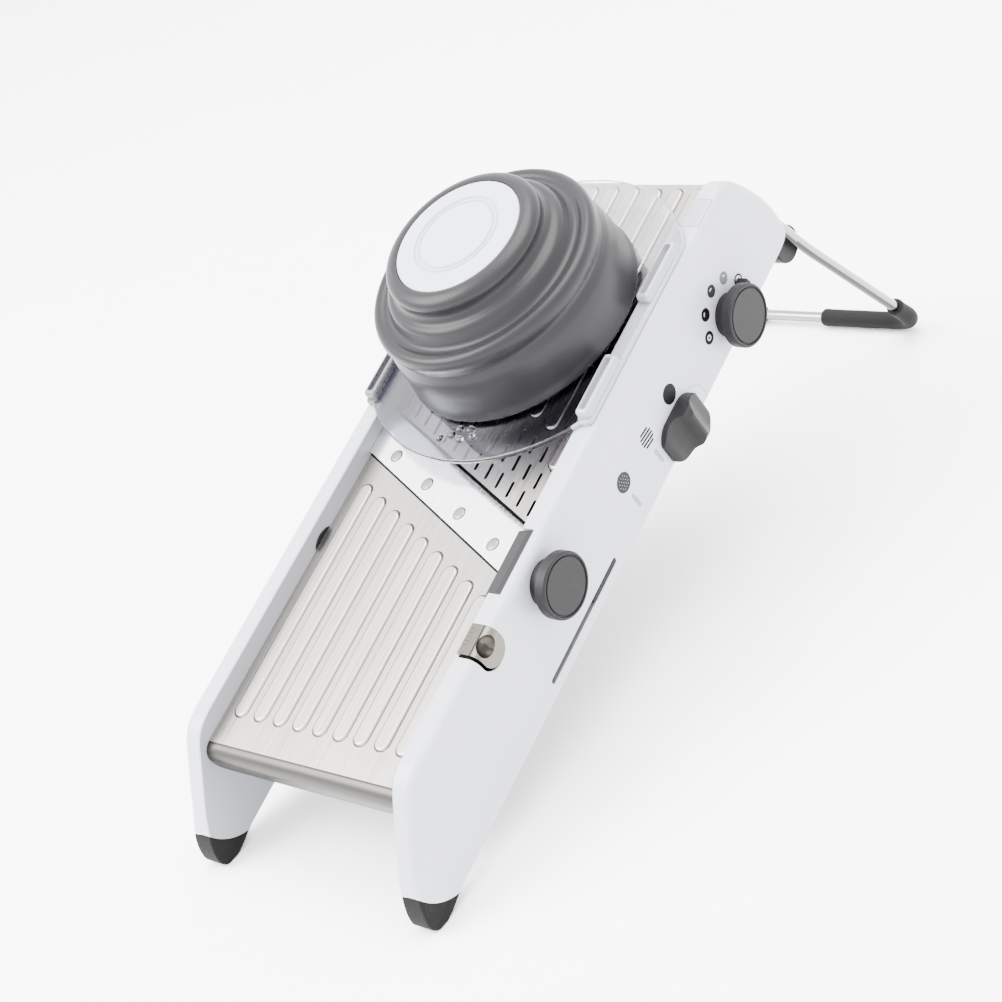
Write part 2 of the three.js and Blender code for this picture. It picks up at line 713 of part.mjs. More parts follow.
addPiece("pusher_bell", bell, greyPlastic);

const cap = turnedUpright([
  [0, 66.5], [CAP_RADIUS, 66.5], [CAP_RADIUS, CAP_Z - 0.8], [CAP_RADIUS - 1, CAP_Z],
  [19.5, CAP_Z + 0.5], [18.6, CAP_Z - 0.4], [16.6, CAP_Z - 0.4], [15.7, CAP_Z + 0.4], [0, CAP_Z + 0.1],
], HOLDER_Y, 40);
addPiece("pusher_cap", cap, whitePlastic);

// Plate with prongs that grips the food, on a stem under the bell.
function prongPlate() {
  const disc = turnedUpright([
    [0, 15], [41, 15], [41, 18], [9, 18], [9, 62.3], [0, 62.3],
  ], HOLDER_Y, 32);
  const prongs = [[12, 5], [25, 9], [36, 12]].flatMap(([radius, count]) => {
    const ring = [];
    for (let k = 0; k < count; k += 1) {
      const angle = (2 * Math.PI * (k + 0.5)) / count;
      const cone = new THREE.ConeGeometry(1.7, 9, 6);
      cone.rotateX(-Math.PI / 2);
      cone.translate(radius * Math.cos(angle), HOLDER_Y + radius * Math.sin(angle), 11);
      ring.push(toSolid(cone));
    }
    return ring;
  });
  return disc.add(unionOf(prongs));
}

addPiece("prong_plate", prongPlate(), clearPlastic);

// --------------------------------------------------------------------- stand

// Centre line of the wire from the right leg top, round the foot, to the left.
function wireHalf(side) {
  const at = (x, [y, z]) => new THREE.Vector3(side * x, y, z);
  const knee = new THREE.QuadraticBezierCurve3(
    at(LEG_X, [322.8, -67.4]),
    at(LEG_X, LEG_BEND),
    at(LEG_X, [328.2, -84.5]),
  );
  const foot = at(LEG_X, LEG_FOOT);
  const upLeg = at(LEG_X, LEG_BEND).sub(foot).normalize();
  const inward = new THREE.Vector3(-side, 0, 0);
  const corner = new THREE.QuadraticBezierCurve3(
    foot.clone().addScaledVector(upLeg, 13),
    foot,
    foot.clone().addScaledVector(inward, 13),
  ).getPoints(5);
  return { top: at(LEG_X, LEG_TOP), knee: knee.getPoints(2), corner, upLeg, inward };
}

const halfRight = wireHalf(1);
const halfLeft = wireHalf(-1);
const wirePath = [
  halfRight.top,
  ...halfRight.knee,
  ...halfRight.corner,
  ...halfLeft.corner.toReversed(),
  ...halfLeft.knee.toReversed(),
  halfLeft.top,
];
addPiece("stand_wire", bar(wirePath, WIRE_RADIUS, 10), wireSteel);

// Rubber sleeve over one corner of the wire, reaching inwards along the base.
function cornerSleeve({ corner, upLeg, inward }, baseReach) {
  const reach = (leg, base) => [
    corner[0].clone().addScaledVector(upLeg, leg),
    ...corner,
    corner[corner.length - 1].clone().addScaledVector(inward, base),
  ];
  const skin = bar(reach(11, baseReach), SLEEVE_RADIUS, 12);
  return skin.subtract(bar(reach(20, baseReach + 12), WIRE_RADIUS + GAP, 10));
}

addPiece("right_stand_sleeve", cornerSleeve(halfRight, SLEEVE_REACH.right), rubber);
addPiece("left_stand_sleeve", cornerSleeve(halfLeft, SLEEVE_REACH.left), rubber);

// Hinge arm: turns on a pin in the rail and carries the top of the wire leg.
function hingeArm() {
  const [y0, z0] = PIVOT;
  const [y1, z1] = HINGE_END;
  const neck = sidePlate(stadium([y0, z0], [y1, z1], 6.2), 43, 51.2);
  const boss = pinAcross(9.3, 43, 51.2, HINGE_END, 24);
  return neck.add(boss);
}

const pin = pinAcross(2.6, 51.5, INNER_X - GAP, PIVOT, 14);
addPiece("right_hinge_arm", hingeArm(), greyPlastic);
addPiece("left_hinge_arm", mirrored(hingeArm()), greyPlastic);
addPiece("right_hinge_pin", pin, wireSteel);
addPiece("left_hinge_pin", mirrored(pin), wireSteel);

// ------------------------------------------------------- stand it on its feet

deck.rotation.x = TILT;
const slicer = new THREE.Group();
slicer.name = "mandoline_slicer";
slicer.add(deck);
slicer.updateMatrixWorld(true);
const bounds = new THREE.Box3().setFromObject(slicer, true);
const centre = bounds.getCenter(new THREE.Vector3());
slicer.position.set(-centre.x, -centre.y, -bounds.min.z);

export default slicer;
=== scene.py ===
"""Looks of the mandoline slicer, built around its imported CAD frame.

Pieces are laid out in the deck frame, in millimetres: +X to the right across the
slicer, +Y up along the slicing deck, +Z square to it, with Z = 0 on the lower deck.
DECK takes that frame to the shared frame in metres.
"""

from math import acos, asin, atan, atan2, cos, degrees, pi, radians, sin, sqrt, tan

import bmesh
import bpy
from mathutils import Matrix, Vector
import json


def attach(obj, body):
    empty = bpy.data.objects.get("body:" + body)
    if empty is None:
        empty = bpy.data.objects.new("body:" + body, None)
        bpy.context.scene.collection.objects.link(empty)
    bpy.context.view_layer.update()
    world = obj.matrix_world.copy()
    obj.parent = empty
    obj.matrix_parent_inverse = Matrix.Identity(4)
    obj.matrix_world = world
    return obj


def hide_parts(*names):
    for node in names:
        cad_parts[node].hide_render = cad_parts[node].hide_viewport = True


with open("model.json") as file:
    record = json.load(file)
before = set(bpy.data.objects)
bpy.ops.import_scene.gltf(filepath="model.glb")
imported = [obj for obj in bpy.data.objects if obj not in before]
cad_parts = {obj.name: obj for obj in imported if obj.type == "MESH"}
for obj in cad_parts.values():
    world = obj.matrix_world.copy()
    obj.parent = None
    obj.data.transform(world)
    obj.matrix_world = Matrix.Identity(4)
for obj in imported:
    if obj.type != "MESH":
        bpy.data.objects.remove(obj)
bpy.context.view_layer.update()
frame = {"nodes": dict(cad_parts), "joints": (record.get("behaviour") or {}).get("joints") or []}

# ---- deck frame

MM = 0.001
PIVOT = (299.0, -26.0)  # the stand's hinge, as (y, z) in the deck frame

joints = {joint["name"]: joint for joint in frame["joints"]}
UPHILL = -Vector(joints["carriage_slide"]["axis"]).normalized()
SQUARE = Vector(joints["pusher_lift"]["axis"]).normalized()
RIGHT = UPHILL.cross(SQUARE)
DECK_ORIGIN = Vector(joints["stand_fold"]["pos_m"]) - MM * (PIVOT[0] * UPHILL + PIVOT[1] * SQUARE)
TILT = asin(UPHILL.z)
DECK = Matrix.Translation(DECK_ORIGIN) @ Matrix((RIGHT, UPHILL, SQUARE)).transposed().to_4x4()
DECK = DECK @ Matrix.Scale(MM, 4)

# ---- dimensions

GAP = 0.3
OUTER_X = 69.5
INNER_X = 58.2
RAIL_TOP = 8.8
RAIL_BOTTOM = -46.2
RAIL_ROUNDING = 4.5
DECK_HALF = INNER_X - GAP
SHEET = 1.2
LIP_Y = -16.0
LIP_RADIUS = 6.5
LIP_DROP = -11.5
RIB_PITCH = 12.2
RIB_RADIUS = 3.8
RIB_HEIGHT = 0.9
BRUSH_ALONG = (1400, 16, 1400)  # brushing scales of the steel, along and across the deck
BRUSH_ACROSS = (14, 1100, 1100)
BRUSH_POLISHED = (900, 20, 900)
SLOT_ROWS = 3
SLOTS_PER_ROW = 13
SLOT_FIRST_X = 48.2
SLOT_LAST_X = -52
SLOT_PITCH = 8.35
SLOT_ROW_Y = 142.3
SLOT_ROW_STEP = 11.6
BLADE_SLOPE = -0.466
RUN_IN_TOP = -1.0
BLADE_BACK_Y = 110.2
BLADE_EDGE_Y = 133.9
BLADE_TOP = 1.5
BLADE_RIGHT_X = 57.6
RIVET_RADIUS = 3.0
RIVET_PITCH = 26.9
RIVET_LINE_Y = 117.5
DIAL_CENTRE = (250.4, -33.0)
BLADE_KNOB_CENTRE = (89.1, -6.9)
KNOB_RADIUS = 14.5
KNOB_HEIGHT = 11.7
KNOB_NECK = 6.3
DIAL_MARK_ANGLES = (14.6, 54.0, 90.7, 128.9, 165.9)  # degrees; the pointer rests at the first
DIAL_MARK_CIRCLE = 16.9
SLIDER_MARK_RADIUS = 4.7
HOLDER_Y = 209.8
BRIM_FAR = (211.5, 80.3)  # centre's y and radius of the brim's far arc
BRIM_NEAR = (218.0, 87.0)
BRIM_LIMIT = 67.2
BRIM_BOTTOM = 9.2
BRIM_TOP = 11.4
COLLAR_RADIUS = 46.0
COLLAR_TOP = 45.0
HOLDER_SHADE_FADE = (-0.035, 0.03)  # along Y in metres: the brim's painted shade fades out over this
CAP_RADIUS = 31.0
CAP_Z = 69.2
WIRE_RADIUS = 2.75
SLEEVE_REACH = {"right": 43.7, "left": 0.8}
LEG_X = 54.4
LEG_TOP = (313.5, -34.0)
LEG_BEND = (325.2, -75.4)
LEG_FOOT = (363.5, -183.0)
ARM_END = (320.6, -68.8)
TAB_DISC = (50.2, 2.1, 7.2)  # y, z and radius of the release tab's round end
TAB_DIMPLE = (70.9, TAB_DISC[0] - 0.6, 7.0)
TAB_TRAVEL = 1.3
LOCK_SLOT = (59.3, 122.6, -39.2)
GRIP_LOW, GRIP_HIGH, GRIP_INNER, GRIP_OUTER, GRIP_TOP = 72.4, 104.3, 52.0, 64.8, 8.4


def diagonal(y_at_centre, x):
    return y_at_centre + BLADE_SLOPE * x


# ---- materials

BAND = (0.3, 0.7)  # the part of a noise texture's range that is used
MIX_FACTOR, MIX_FIRST, MIX_SECOND, MIX_RESULT = 0, 6, 7, 2  # sockets of a colour Mix node


class Nodes:
    """Short way to build a node material."""

    def __init__(self, name):
        self.material = bpy.data.materials.new(name)
        self.material.use_nodes = True
        self.tree = self.material.node_tree
        self.shader = self.tree.nodes["Principled BSDF"]

    def add(self, kind, **settings):
        node = self.tree.nodes.new(kind)
        for key, value in settings.items():
            if key in node.inputs:
                node.inputs[key].default_value = value
            else:
                setattr(node, key, value)
        return node

    def link(self, source, output, target, socket):
        self.tree.links.new(source.outputs[output], target.inputs[socket])

    def deck_coordinates(self, scale):
        """Object coordinates turned into the deck frame and stretched by scale, in 1/m."""
        coordinates = self.add("ShaderNodeTexCoord")
        turn = self.add("ShaderNodeMapping", Rotation=(-TILT, 0, 0))
        stretch = self.add("ShaderNodeMapping", Scale=scale)
        self.link(coordinates, "Object", turn, "Vector")
        self.link(turn, "Vector", stretch, "Vector")
        return stretch

    def noise(self, scale, detail=3.0, roughness=0.5):
        coordinates = self.deck_coordinates(scale)
        texture = self.add("ShaderNodeTexNoise", Scale=1.0, Detail=detail, Roughness=roughness)
        self.link(coordinates, "Vector", texture, "Vector")
        return texture

    def gloss(self, texture, low, high):
        """Let the roughness vary between low and high."""
        span = {"From Min": BAND[0], "From Max": BAND[1], "To Min": low, "To Max": high}
        remap = self.add("ShaderNodeMapRange", **span)
        self.link(texture, "Fac", remap, "Value")
        self.link(remap, "Result", self.shader, "Roughness")

    def tint(self, texture, dark, light):
        """Let the base colour vary between dark and light."""
        ramp = self.add("ShaderNodeValToRGB")
        for element, position, colour in zip(ramp.color_ramp.elements, BAND, (dark, light)):
            element.position = position
            element.color = (*colour, 1)
        self.link(texture, "Fac", ramp, "Fac")
        self.link(ramp, "Color", self.shader, "Base Color")
        return ramp

    def bump(self, texture, strength, depth):
        bump = self.add("ShaderNodeBump", Strength=strength, Distance=depth)
        self.link(texture, "Fac", bump, "Height")
        self.link(bump, "Normal", self.shader, "Normal")

    def set(self, **sockets):
        for key, value in sockets.items():
            self.shader.inputs[key.replace("_", " ")].default_value = value
        return self


def scaled(colour, factor):
    return tuple(channel * factor for channel in colour)


def moulded(name, colour, roughness, strength=0.25, specular=0.5):
    """Moulded plastic: faint colour drift, fine grain in the surface and in its gloss."""
    nodes = Nodes(name)
    drift = nodes.noise((24, 24, 24), detail=2)
    nodes.tint(drift, scaled(colour, 0.975), scaled(colour, 1.02))
    skin = nodes.noise((2600, 2600, 2600), detail=2)
    nodes.gloss(skin, roughness * 0.88, roughness * 1.14)
    nodes.bump(skin, strength, 0.00003)
    nodes.set(IOR=1.5, Specular_IOR_Level=specular)
    return nodes.material


def rubber(name, colour):
    nodes = Nodes(name)
    drift = nodes.noise((60, 60, 60), detail=4)
    nodes.tint(drift, scaled(colour, 0.88), scaled(colour, 1.1))
    skin = nodes.noise((1500, 1500, 1500), detail=4, roughness=0.65)
    nodes.gloss(skin, 0.58, 0.78)
    nodes.bump(skin, 0.35, 0.00006)
    nodes.set(Specular_IOR_Level=0.1)
    return nodes.material


def brushed(name, colour, roughness, stretch, strength=0.12):
    """Metal brushed along the direction in which stretch is small."""
    nodes = Nodes(name)
    streaks = nodes.noise(stretch, detail=4, roughness=0.6)
    nodes.tint(streaks, scaled(colour, 0.95), scaled(colour, 1.03))
    nodes.gloss(streaks, roughness * 0.8, roughness * 1.25)
    nodes.bump(streaks, strength, 0.00002)
    nodes.set(Metallic=1.0)
    return nodes.material


def clear(name, colour, roughness, near_shade=None, clearness=1.0):
    """Clear moulded plastic with faint flow lines; an optional second colour darkens its lower half along
    the deck, a painted shade and reflection.
    """
    nodes = Nodes(name)
    flow = nodes.noise((55, 55, 55), detail=2)
    tint = nodes.tint(flow, scaled(colour, 0.985), colour)
    # Painted shade and reflection: the lower half along the deck fades to the darker colour.
    if near_shade:
        coordinates = nodes.add("ShaderNodeTexCoord")
        split = nodes.add("ShaderNodeSeparateXYZ")
        fade = nodes.add("ShaderNodeMapRange", **{"From Min": HOLDER_SHADE_FADE[0], "From Max": HOLDER_SHADE_FADE[1]})
        mix = nodes.add("ShaderNodeMix", data_type="RGBA")
        mix.inputs[MIX_FIRST].default_value = (*near_shade, 1)
        nodes.link(coordinates, "Object", split, "Vector")
        nodes.link(split, "Y", fade, "Value")
        nodes.link(fade, "Result", mix, MIX_FACTOR)
        nodes.link(tint, "Color", mix, MIX_SECOND)
        nodes.link(mix, MIX_RESULT, nodes.shader, "Base Color")
    fine = nodes.noise((900, 900, 900), detail=2)
    nodes.gloss(fine, roughness * 0.6, roughness * 1.5)
    nodes.bump(flow, 0.05, 0.0002)
    nodes.set(Transmission_Weight=clearness, IOR=1.5)
    return nodes.material


white_plastic = moulded("white_plastic", (0.37, 0.376, 0.41), 0.34)
# Darker copy of the white plastic: painted shade on the left rail's inner wall.
painted_shade_plastic = moulded("painted_shade_plastic", (0.2, 0.203, 0.218), 0.4)
insert_plastic = moulded("insert_plastic", (0.29, 0.293, 0.312), 0.36)
cap_plastic = moulded("cap_plastic", (0.40, 0.425, 0.485), 0.38)
knob_plastic = moulded("knob_plastic", (0.0085, 0.0083, 0.0086), 0.46, strength=0.4, specular=0.12)
bell_plastic = moulded("bell_plastic", (0.0105, 0.0103, 0.011), 0.34, strength=0.2, specular=0.16)
grip_plastic = moulded("grip_plastic", (0.006, 0.006, 0.0065), 0.4, specular=0.2)
dark_plastic = moulded("dark_plastic", (0.003, 0.003, 0.0033), 0.5, specular=0.08)
# Grey liner for the lock slot: painted shade in the slot.
slot_shade_liner = moulded("slot_shade_liner", (0.12, 0.12, 0.127), 0.5, specular=0.3)
# Grey tick plastic: painted shade on the ticks' raised edges.
tick_shade_plastic = moulded("tick_shade_plastic", (0.17, 0.172, 0.185), 0.4)
print_black = moulded("print_black", (0.002, 0.002, 0.0024), 0.5, specular=0.08)
print_grey = moulded("print_grey", (0.014, 0.014, 0.0155), 0.5, specular=0.1)
print_light = moulded("print_light", (0.07, 0.07, 0.08), 0.5, specular=0.2)
foot_rubber = rubber("foot_rubber", (0.0035, 0.0032, 0.003))
sleeve_rubber = rubber("sleeve_rubber", (0.0055, 0.0053, 0.0055))
deck_steel = brushed("deck_steel", (0.35, 0.336, 0.312), 0.3, BRUSH_ALONG)
# Lighter steel for the ribs' flat tops: painted highlight.
rib_top_highlight_steel = brushed("rib_top_highlight_steel", (0.43, 0.392, 0.368), 0.28, BRUSH_ALONG)
# Dark steel: painted shade in creases, along edges and in gaps of the decks and blade.
painted_shade_steel = brushed("painted_shade_steel", (0.03, 0.029, 0.028), 0.4, BRUSH_ALONG)
# Dark steels on the front lip: painted reflection, darkest along its lower edge.
lip_dark_reflection_steel = brushed("lip_dark_reflection_steel", (0.055, 0.052, 0.047), 0.34, BRUSH_ACROSS, strength=0.2)
lip_edge_dark_reflection_steel = brushed("lip_edge_dark_reflection_steel", (0.018, 0.017, 0.0155), 0.36, BRUSH_ACROSS, strength=0.2)
blade_steel = brushed("blade_steel", (0.98, 0.98, 0.98), 0.22, BRUSH_POLISHED, strength=0.04)
# Near-black comb: painted shade under the upper deck's slots.
comb_painted_shade_steel = brushed("comb_painted_shade_steel", (0.01, 0.01, 0.01), 0.35, BRUSH_POLISHED)
rivet_steel = brushed("rivet_steel", (0.2, 0.2, 0.2), 0.34, (1200, 1200, 1200))
tab_steel = brushed("tab_steel", (0.12, 0.11, 0.094), 0.3, (1200, 30, 1200))
# Darker steels in the tab's dimple: painted shade.
dimple_shade_steel = brushed("dimple_shade_steel", (0.055, 0.049, 0.042), 0.35, (1200, 30, 1200))
dimple_deep_shade_steel = brushed("dimple_deep_shade_steel", (0.026, 0.0225, 0.019), 0.4, (1200, 30, 1200))
wire_steel = brushed("wire_steel", (0.24, 0.24, 0.236), 0.17, (900, 900, 30), strength=0.08)
wire_shade_steel = brushed("wire_shade_steel", (0.05, 0.05, 0.049), 0.2, (900, 900, 30), strength=0.08)
clear_shell = clear("clear_shell", (0.93, 0.95, 0.985), 0.05)
wing_shell = clear("wing_shell", (0.36, 0.365, 0.415), 0.16, clearness=0.3)
# Darker copy of the wing plastic: painted shade on the left wing.
wing_shade_shell = clear("wing_shade_shell", (0.10, 0.10, 0.108), 0.3, clearness=0.15)
# The brim's near half is tinted darker: painted shade and reflection of the dark bell.
brim_shell = clear("brim_shell", (0.90, 0.91, 0.95), 0.05, near_shade=(0.52, 0.52, 0.60))

# ---- mesh helpers


def spline(points, steps=5):
    """Catmull-Rom curve through the points, keeping each of them."""
    result = []
    count = len(points)
    for k in range(count - 1):
        p0 = Vector(points[max(k - 1, 0)])
        p1, p2 = Vector(points[k]), Vector(points[k + 1])
        p3 = Vector(points[min(k + 2, count - 1)])
        for step in range(steps):
            t = step / steps
            a = 2 * p1 + (p2 - p0) * t
            b = (2 * p0 - 5 * p1 + 4 * p2 - p3) * t * t
            c = (3 * p1 - p0 - 3 * p2 + p3) * t * t * t
            result.append(tuple((a + b + c) / 2))
    result.append(tuple(points[-1]))
    return result


def filleted(corners, steps=6, closed=True):
    """Polyline whose corners, given as (x, y, radius), are rounded by arcs."""
    result = []
    count = len(corners)
    for k, (x, y, radius) in enumerate(corners):
        if radius <= 0 or (not closed and k in (0, count - 1)):
            result.append((x, y))
            continue
        here = Vector((x, y))
        before = (Vector(corners[k - 1][:2]) - here).normalized()
        after = (Vector(corners[(k + 1) % count][:2]) - here).normalized()
        half = acos(max(-1.0, min(1.0, before.dot(after)))) / 2
        reach = radius / tan(half)
        centre = here + (before + after).normalized() * (radius / sin(half))
        start = here + before * reach - centre
        end = here + after * reach - centre
        for step in range(steps + 1):
            arm = start.lerp(end, step / steps)
            if step not in (0, steps):
                turn = start.angle_signed(end) * step / steps
                arm = Matrix.Rotation(-turn, 2) @ start
            result.append(tuple(centre + arm))
    return result


def arc(cx, cy, radius, start, end, steps):
    """Points on a circle, angles in degrees."""
    angles = [radians(start + (end - start) * k / steps) for k in range(steps + 1)]
    return [(cx + radius * cos(a), cy + radius * sin(a)) for a in angles]


def stadium(x0, y0, x1, y1, radius, steps=12):
    along = degrees(atan2(y1 - y0, x1 - x0))
    return (arc(x1, y1, radius, along - 90, along + 90, steps)
            + arc(x0, y0, radius, along + 90, along + 270, steps))


def inset(outline, distance):
    """Closed anticlockwise outline moved inwards; distance is one number or one per point."""
    result = []
    count = len(outline)
    depths = distance if isinstance(distance, list) else [distance] * count
    for k in range(count):
        here = Vector(outline[k])
        before = (here - Vector(outline[k - 1])).normalized()
        after = (Vector(outline[(k + 1) % count]) - here).normalized()
        normal = Vector((-before.y - after.y, before.x + after.x)).normalized()
        stretch = max(0.5, normal.dot(Vector((-after.y, after.x))))
        result.append(tuple(here + normal * (depths[k] / stretch)))
    return result


def area_of(outline):
    pairs = zip(outline, outline[1:] + outline[:1])
    return sum(a[0] * b[1] - b[0] * a[1] for a, b in pairs) / 2


def anticlockwise(outline):
    return outline if area_of(outline) > 0 else outline[::-1]


def plan(x, y, z):
    return (x, y, z)


def side(y, z, x):
    return (x, y, z)


def bridged(loops):
    """Mesh of quads between successive loops of points, and its rows of vertices."""
    mesh = bmesh.new()
    rows = [[mesh.verts.new(point) for point in loop] for loop in loops]
    size = len(rows[0])
    for low, high in zip(rows, rows[1:]):
        for k in range(size):
            n = (k + 1) % size
            mesh.faces.new((low[k], low[n], high[n], high[k]))
    return mesh, rows


def loft(loops):
    """Mesh through loops of points; the two ends are capped."""
    mesh, rows = bridged(loops)
    mesh.faces.new(rows[0][::-1])
    mesh.faces.new(rows[-1])
    bmesh.ops.recalc_face_normals(mesh, faces=mesh.faces)
    return mesh


def rounded_slab(outline, low, high, place, bottom_radius, top_radius, steps=4):
    """Prism on an outline with rounded rims; place maps (u, v, w) to deck axes."""
    outline = anticlockwise(outline)
    turns = [pi / 2 * k / steps for k in range(steps + 1)]
    levels = [(bottom_radius * (1 - sin(turn)), low + bottom_radius * (1 - cos(turn)))
              for turn in turns]
    levels += [(top_radius * (1 - cos(turn)), high - top_radius * (1 - sin(turn)))
               for turn in turns]
    loops = []
    for depth, level in levels:
        ring = inset(outline, depth) if depth > 0 else outline
        loops.append([place(u, v, level) for u, v in ring])
    return loft(loops)


def revolve(profile, segments, axis="z", centre=(0, 0)):
    """Closed turned shape. The profile is (radius, height) and starts and ends on the
    axis, or closes on itself. axis z stands at (x, y) = centre, axis x lies at (y, z)."""
    mesh = bmesh.new()
    rows = []
    for radius, height in profile:
        ring = []
        for k in range(1 if radius < 1e-6 else segments):
            angle = 2 * pi * k / segments
            u, v = radius * cos(angle), radius * sin(angle)
            across = (centre[0] + u, centre[1] + v)
            ring.append(mesh.verts.new((*across, height) if axis == "z" else (height, *across)))
        rows.append(ring)
    pairs = list(zip(rows, rows[1:]))
    if profile[0][0] > 1e-6:
        pairs.append((rows[-1], rows[0]))
    for low, high in pairs:
        for k in range(segments):
            n = (k + 1) % segments
            corners = [low[k % len(low)], low[n % len(low)], high[n % len(high)], high[k % len(high)]]
            unique = list(dict.fromkeys(corners))
            if len(unique) > 2:
                mesh.faces.new(unique)
    bmesh.ops.recalc_face_normals(mesh, faces=mesh.faces)
    return mesh


def box(low, high):
    mesh = bmesh.new()
    size = [b - a for a, b in zip(low, high)]
    middle = [(a + b) / 2 for a, b in zip(low, high)]
    bmesh.ops.create_cube(mesh, size=1)
    bmesh.ops.scale(mesh, vec=size, verts=mesh.verts)
    bmesh.ops.translate(mesh, vec=middle, verts=mesh.verts)
    return mesh


def rounded_box(low, high, radius, steps=3):
    mesh = box(low, high)
    bmesh.ops.bevel(mesh, geom=mesh.edges[:], offset=radius, segments=steps, profile=0.5, affect="EDGES")
    return mesh


def ball(centre, radius, squeeze=(1, 1, 1)):
    mesh = bmesh.new()
    bmesh.ops.create_uvsphere(mesh, u_segments=32, v_segments=20, radius=radius)
    bmesh.ops.scale(mesh, vec=squeeze, verts=mesh.verts)
    bmesh.ops.translate(mesh, vec=centre, verts=mesh.verts)
    return mesh


def placed(name, data):
    """New object in the scene."""
    result = bpy.data.objects.new(name, data)
    bpy.context.scene.collection.objects.link(result)
    return result


def temporary(mesh):
    data = bpy.data.meshes.new("temporary")
    mesh.to_mesh(data)
    mesh.free()
    return placed("temporary", data)


def evaluated(piece):
    """The piece's mesh with its modifiers applied; the object goes."""
    graph = bpy.context.evaluated_depsgraph_get()
    data = bpy.data.meshes.new_from_object(piece.evaluated_get(graph))
    mesh = bmesh.new()
    mesh.from_mesh(data)
    bpy.data.objects.remove(piece)
    bpy.data.meshes.remove(data)
    return mesh


def combine(mesh, others, operation):
    """Boolean of one mesh with several, one after the other."""
    for other in others:
        piece, tool = temporary(mesh), temporary(other)
        modifier = piece.modifiers.new("cut", "BOOLEAN")
        modifier.operation = operation
        modifier.object = tool
        modifier.solver = "EXACT"
        mesh = evaluated(piece)
        bpy.data.objects.remove(tool)
    return mesh


def cut(mesh, *tools):
    return combine(mesh, tools, "DIFFERENCE")


def softened(mesh, width, segments=2, angle=30):
    """Bevel every edge sharper than angle."""
    piece = temporary(mesh)
    modifier = piece.modifiers.new("bevel", "BEVEL")
    modifier.width = width
    modifier.segments = segments
    modifier.limit_method = "ANGLE"
    modifier.angle_limit = radians(angle)
    return evaluated(piece)


def mirror(mesh):
    bmesh.ops.scale(mesh, vec=(-1, 1, 1), verts=mesh.verts)
    bmesh.ops.reverse_faces(mesh, faces=mesh.faces)
    return mesh


def joined(meshes):
    """Several meshes as one, with no boolean."""
    whole = bmesh.new()
    for mesh in meshes:
        data = bpy.data.meshes.new("part")
        mesh.to_mesh(data)
        mesh.free()
        whole.from_mesh(data)
        bpy.data.meshes.remove(data)
    return whole


def piece(name, mesh, material, slot, node=None, angle=32, body="frame", weighted=True):
    """Turn a deck-frame mesh into a finished piece that rides on a body, in place of a CAD node."""
    data = bpy.data.meshes.new(name)
    mesh.to_mesh(data)
    mesh.free()
    data.transform(DECK)
    for polygon in data.polygons:
        polygon.use_smooth = True
    data.set_sharp_from_angle(angle=radians(angle))
    data.materials.append(material)
    result = placed(name, data)
    if weighted:
        modifier = result.modifiers.new("normals", "WEIGHTED_NORMAL")
        modifier.keep_sharp = True
    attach(result, body)
    if node:
        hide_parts(node)
    return result


def dark_detail(name, mesh, material=print_black):
    """Printed mark on the frame, or a dark liner or strip that stands in for shade."""
    piece(name, mesh, material, "dark_plastic")


def painted(result, material, test):
    """Give one more material to the polygons whose deck-frame centre and normal pass a test."""
    result.data.materials.append(material)
    slot = len(result.data.materials) - 1
    back = DECK.inverted()
    turn = DECK.to_3x3().normalized().inverted()
    for polygon in result.data.polygons:
        if test(back @ polygon.center, turn @ polygon.normal):
            polygon.material_index = slot


# ---- rails

REAR_EDGE = [(292, -46.2), (301, -45.8), (306.4, -43.9), (309.8, -38.4), (310, -30), (307, -16.2),
             (300.4, -1.2), (295.6, 5.2), (290, 8.2), (283, 8.8)]
FRONT_EDGE = [(0, 8.8), (-6, 8.7), (-12.4, 7.8), (-16.8, 6.0), (-20.8, 3.0), (-30.5, -6.8),
              (-43.4, -20.4), (-49.6, -28.6), (-53, -34.5), (-54.7, -39.6), (-54.6, -43),
              (-52.8, -45.8), (-49.4, -47.4), (-44.8, -47.9), (-39.5, -47.2), (-33, -46.2)]
CRISP = 0.28  # share of the rounding that is left along the underside


def rail_outline():
    return spline(REAR_EDGE, 5) + spline(FRONT_EDGE, 5)


def below_table():
    """Everything under the table top, which flattens the foot pads."""
    mesh = box((-400, -800, -60), (400, 800, 0))
    to_deck = DECK.inverted() @ Matrix.Scale(MM, 4)
    mesh.transform(to_deck)
    return mesh


def rounding_share(y, z):
    """1 where the outer rim is fully rounded, falling to CRISP at the underside."""
    low, high = (-45.5, -34.0) if y > 150 else (-32.0, -20.0)
    t = max(0.0, min(1.0, (z - low) / (high - low)))
    return CRISP + (1 - CRISP) * (3 * t * t - 2 * t * t * t)


def rail_blank(proud=0.0, steps=8):
    """Right rail and foot in one, rounded along its outer rim."""
    outline = anticlockwise(rail_outline())
    shares = [rounding_share(y, z) * RAIL_ROUNDING for y, z in outline]
    loops = [[side(y, z, INNER_X) for y, z in inset(outline, 0.5 - proud)],
             [side(y, z, INNER_X + 0.5) for y, z in inset(outline, -proud)]]
    for k in range(steps + 1):
        angle = pi / 2 * k / steps
        depths = [share * (1 - cos(angle)) - proud for share in shares]
        ring = inset(outline, depths)
        loops.append([side(y, z, OUTER_X + proud - share * (1 - sin(angle)))
                      for (y, z), share in zip(ring, shares)])
    return loft(loops)


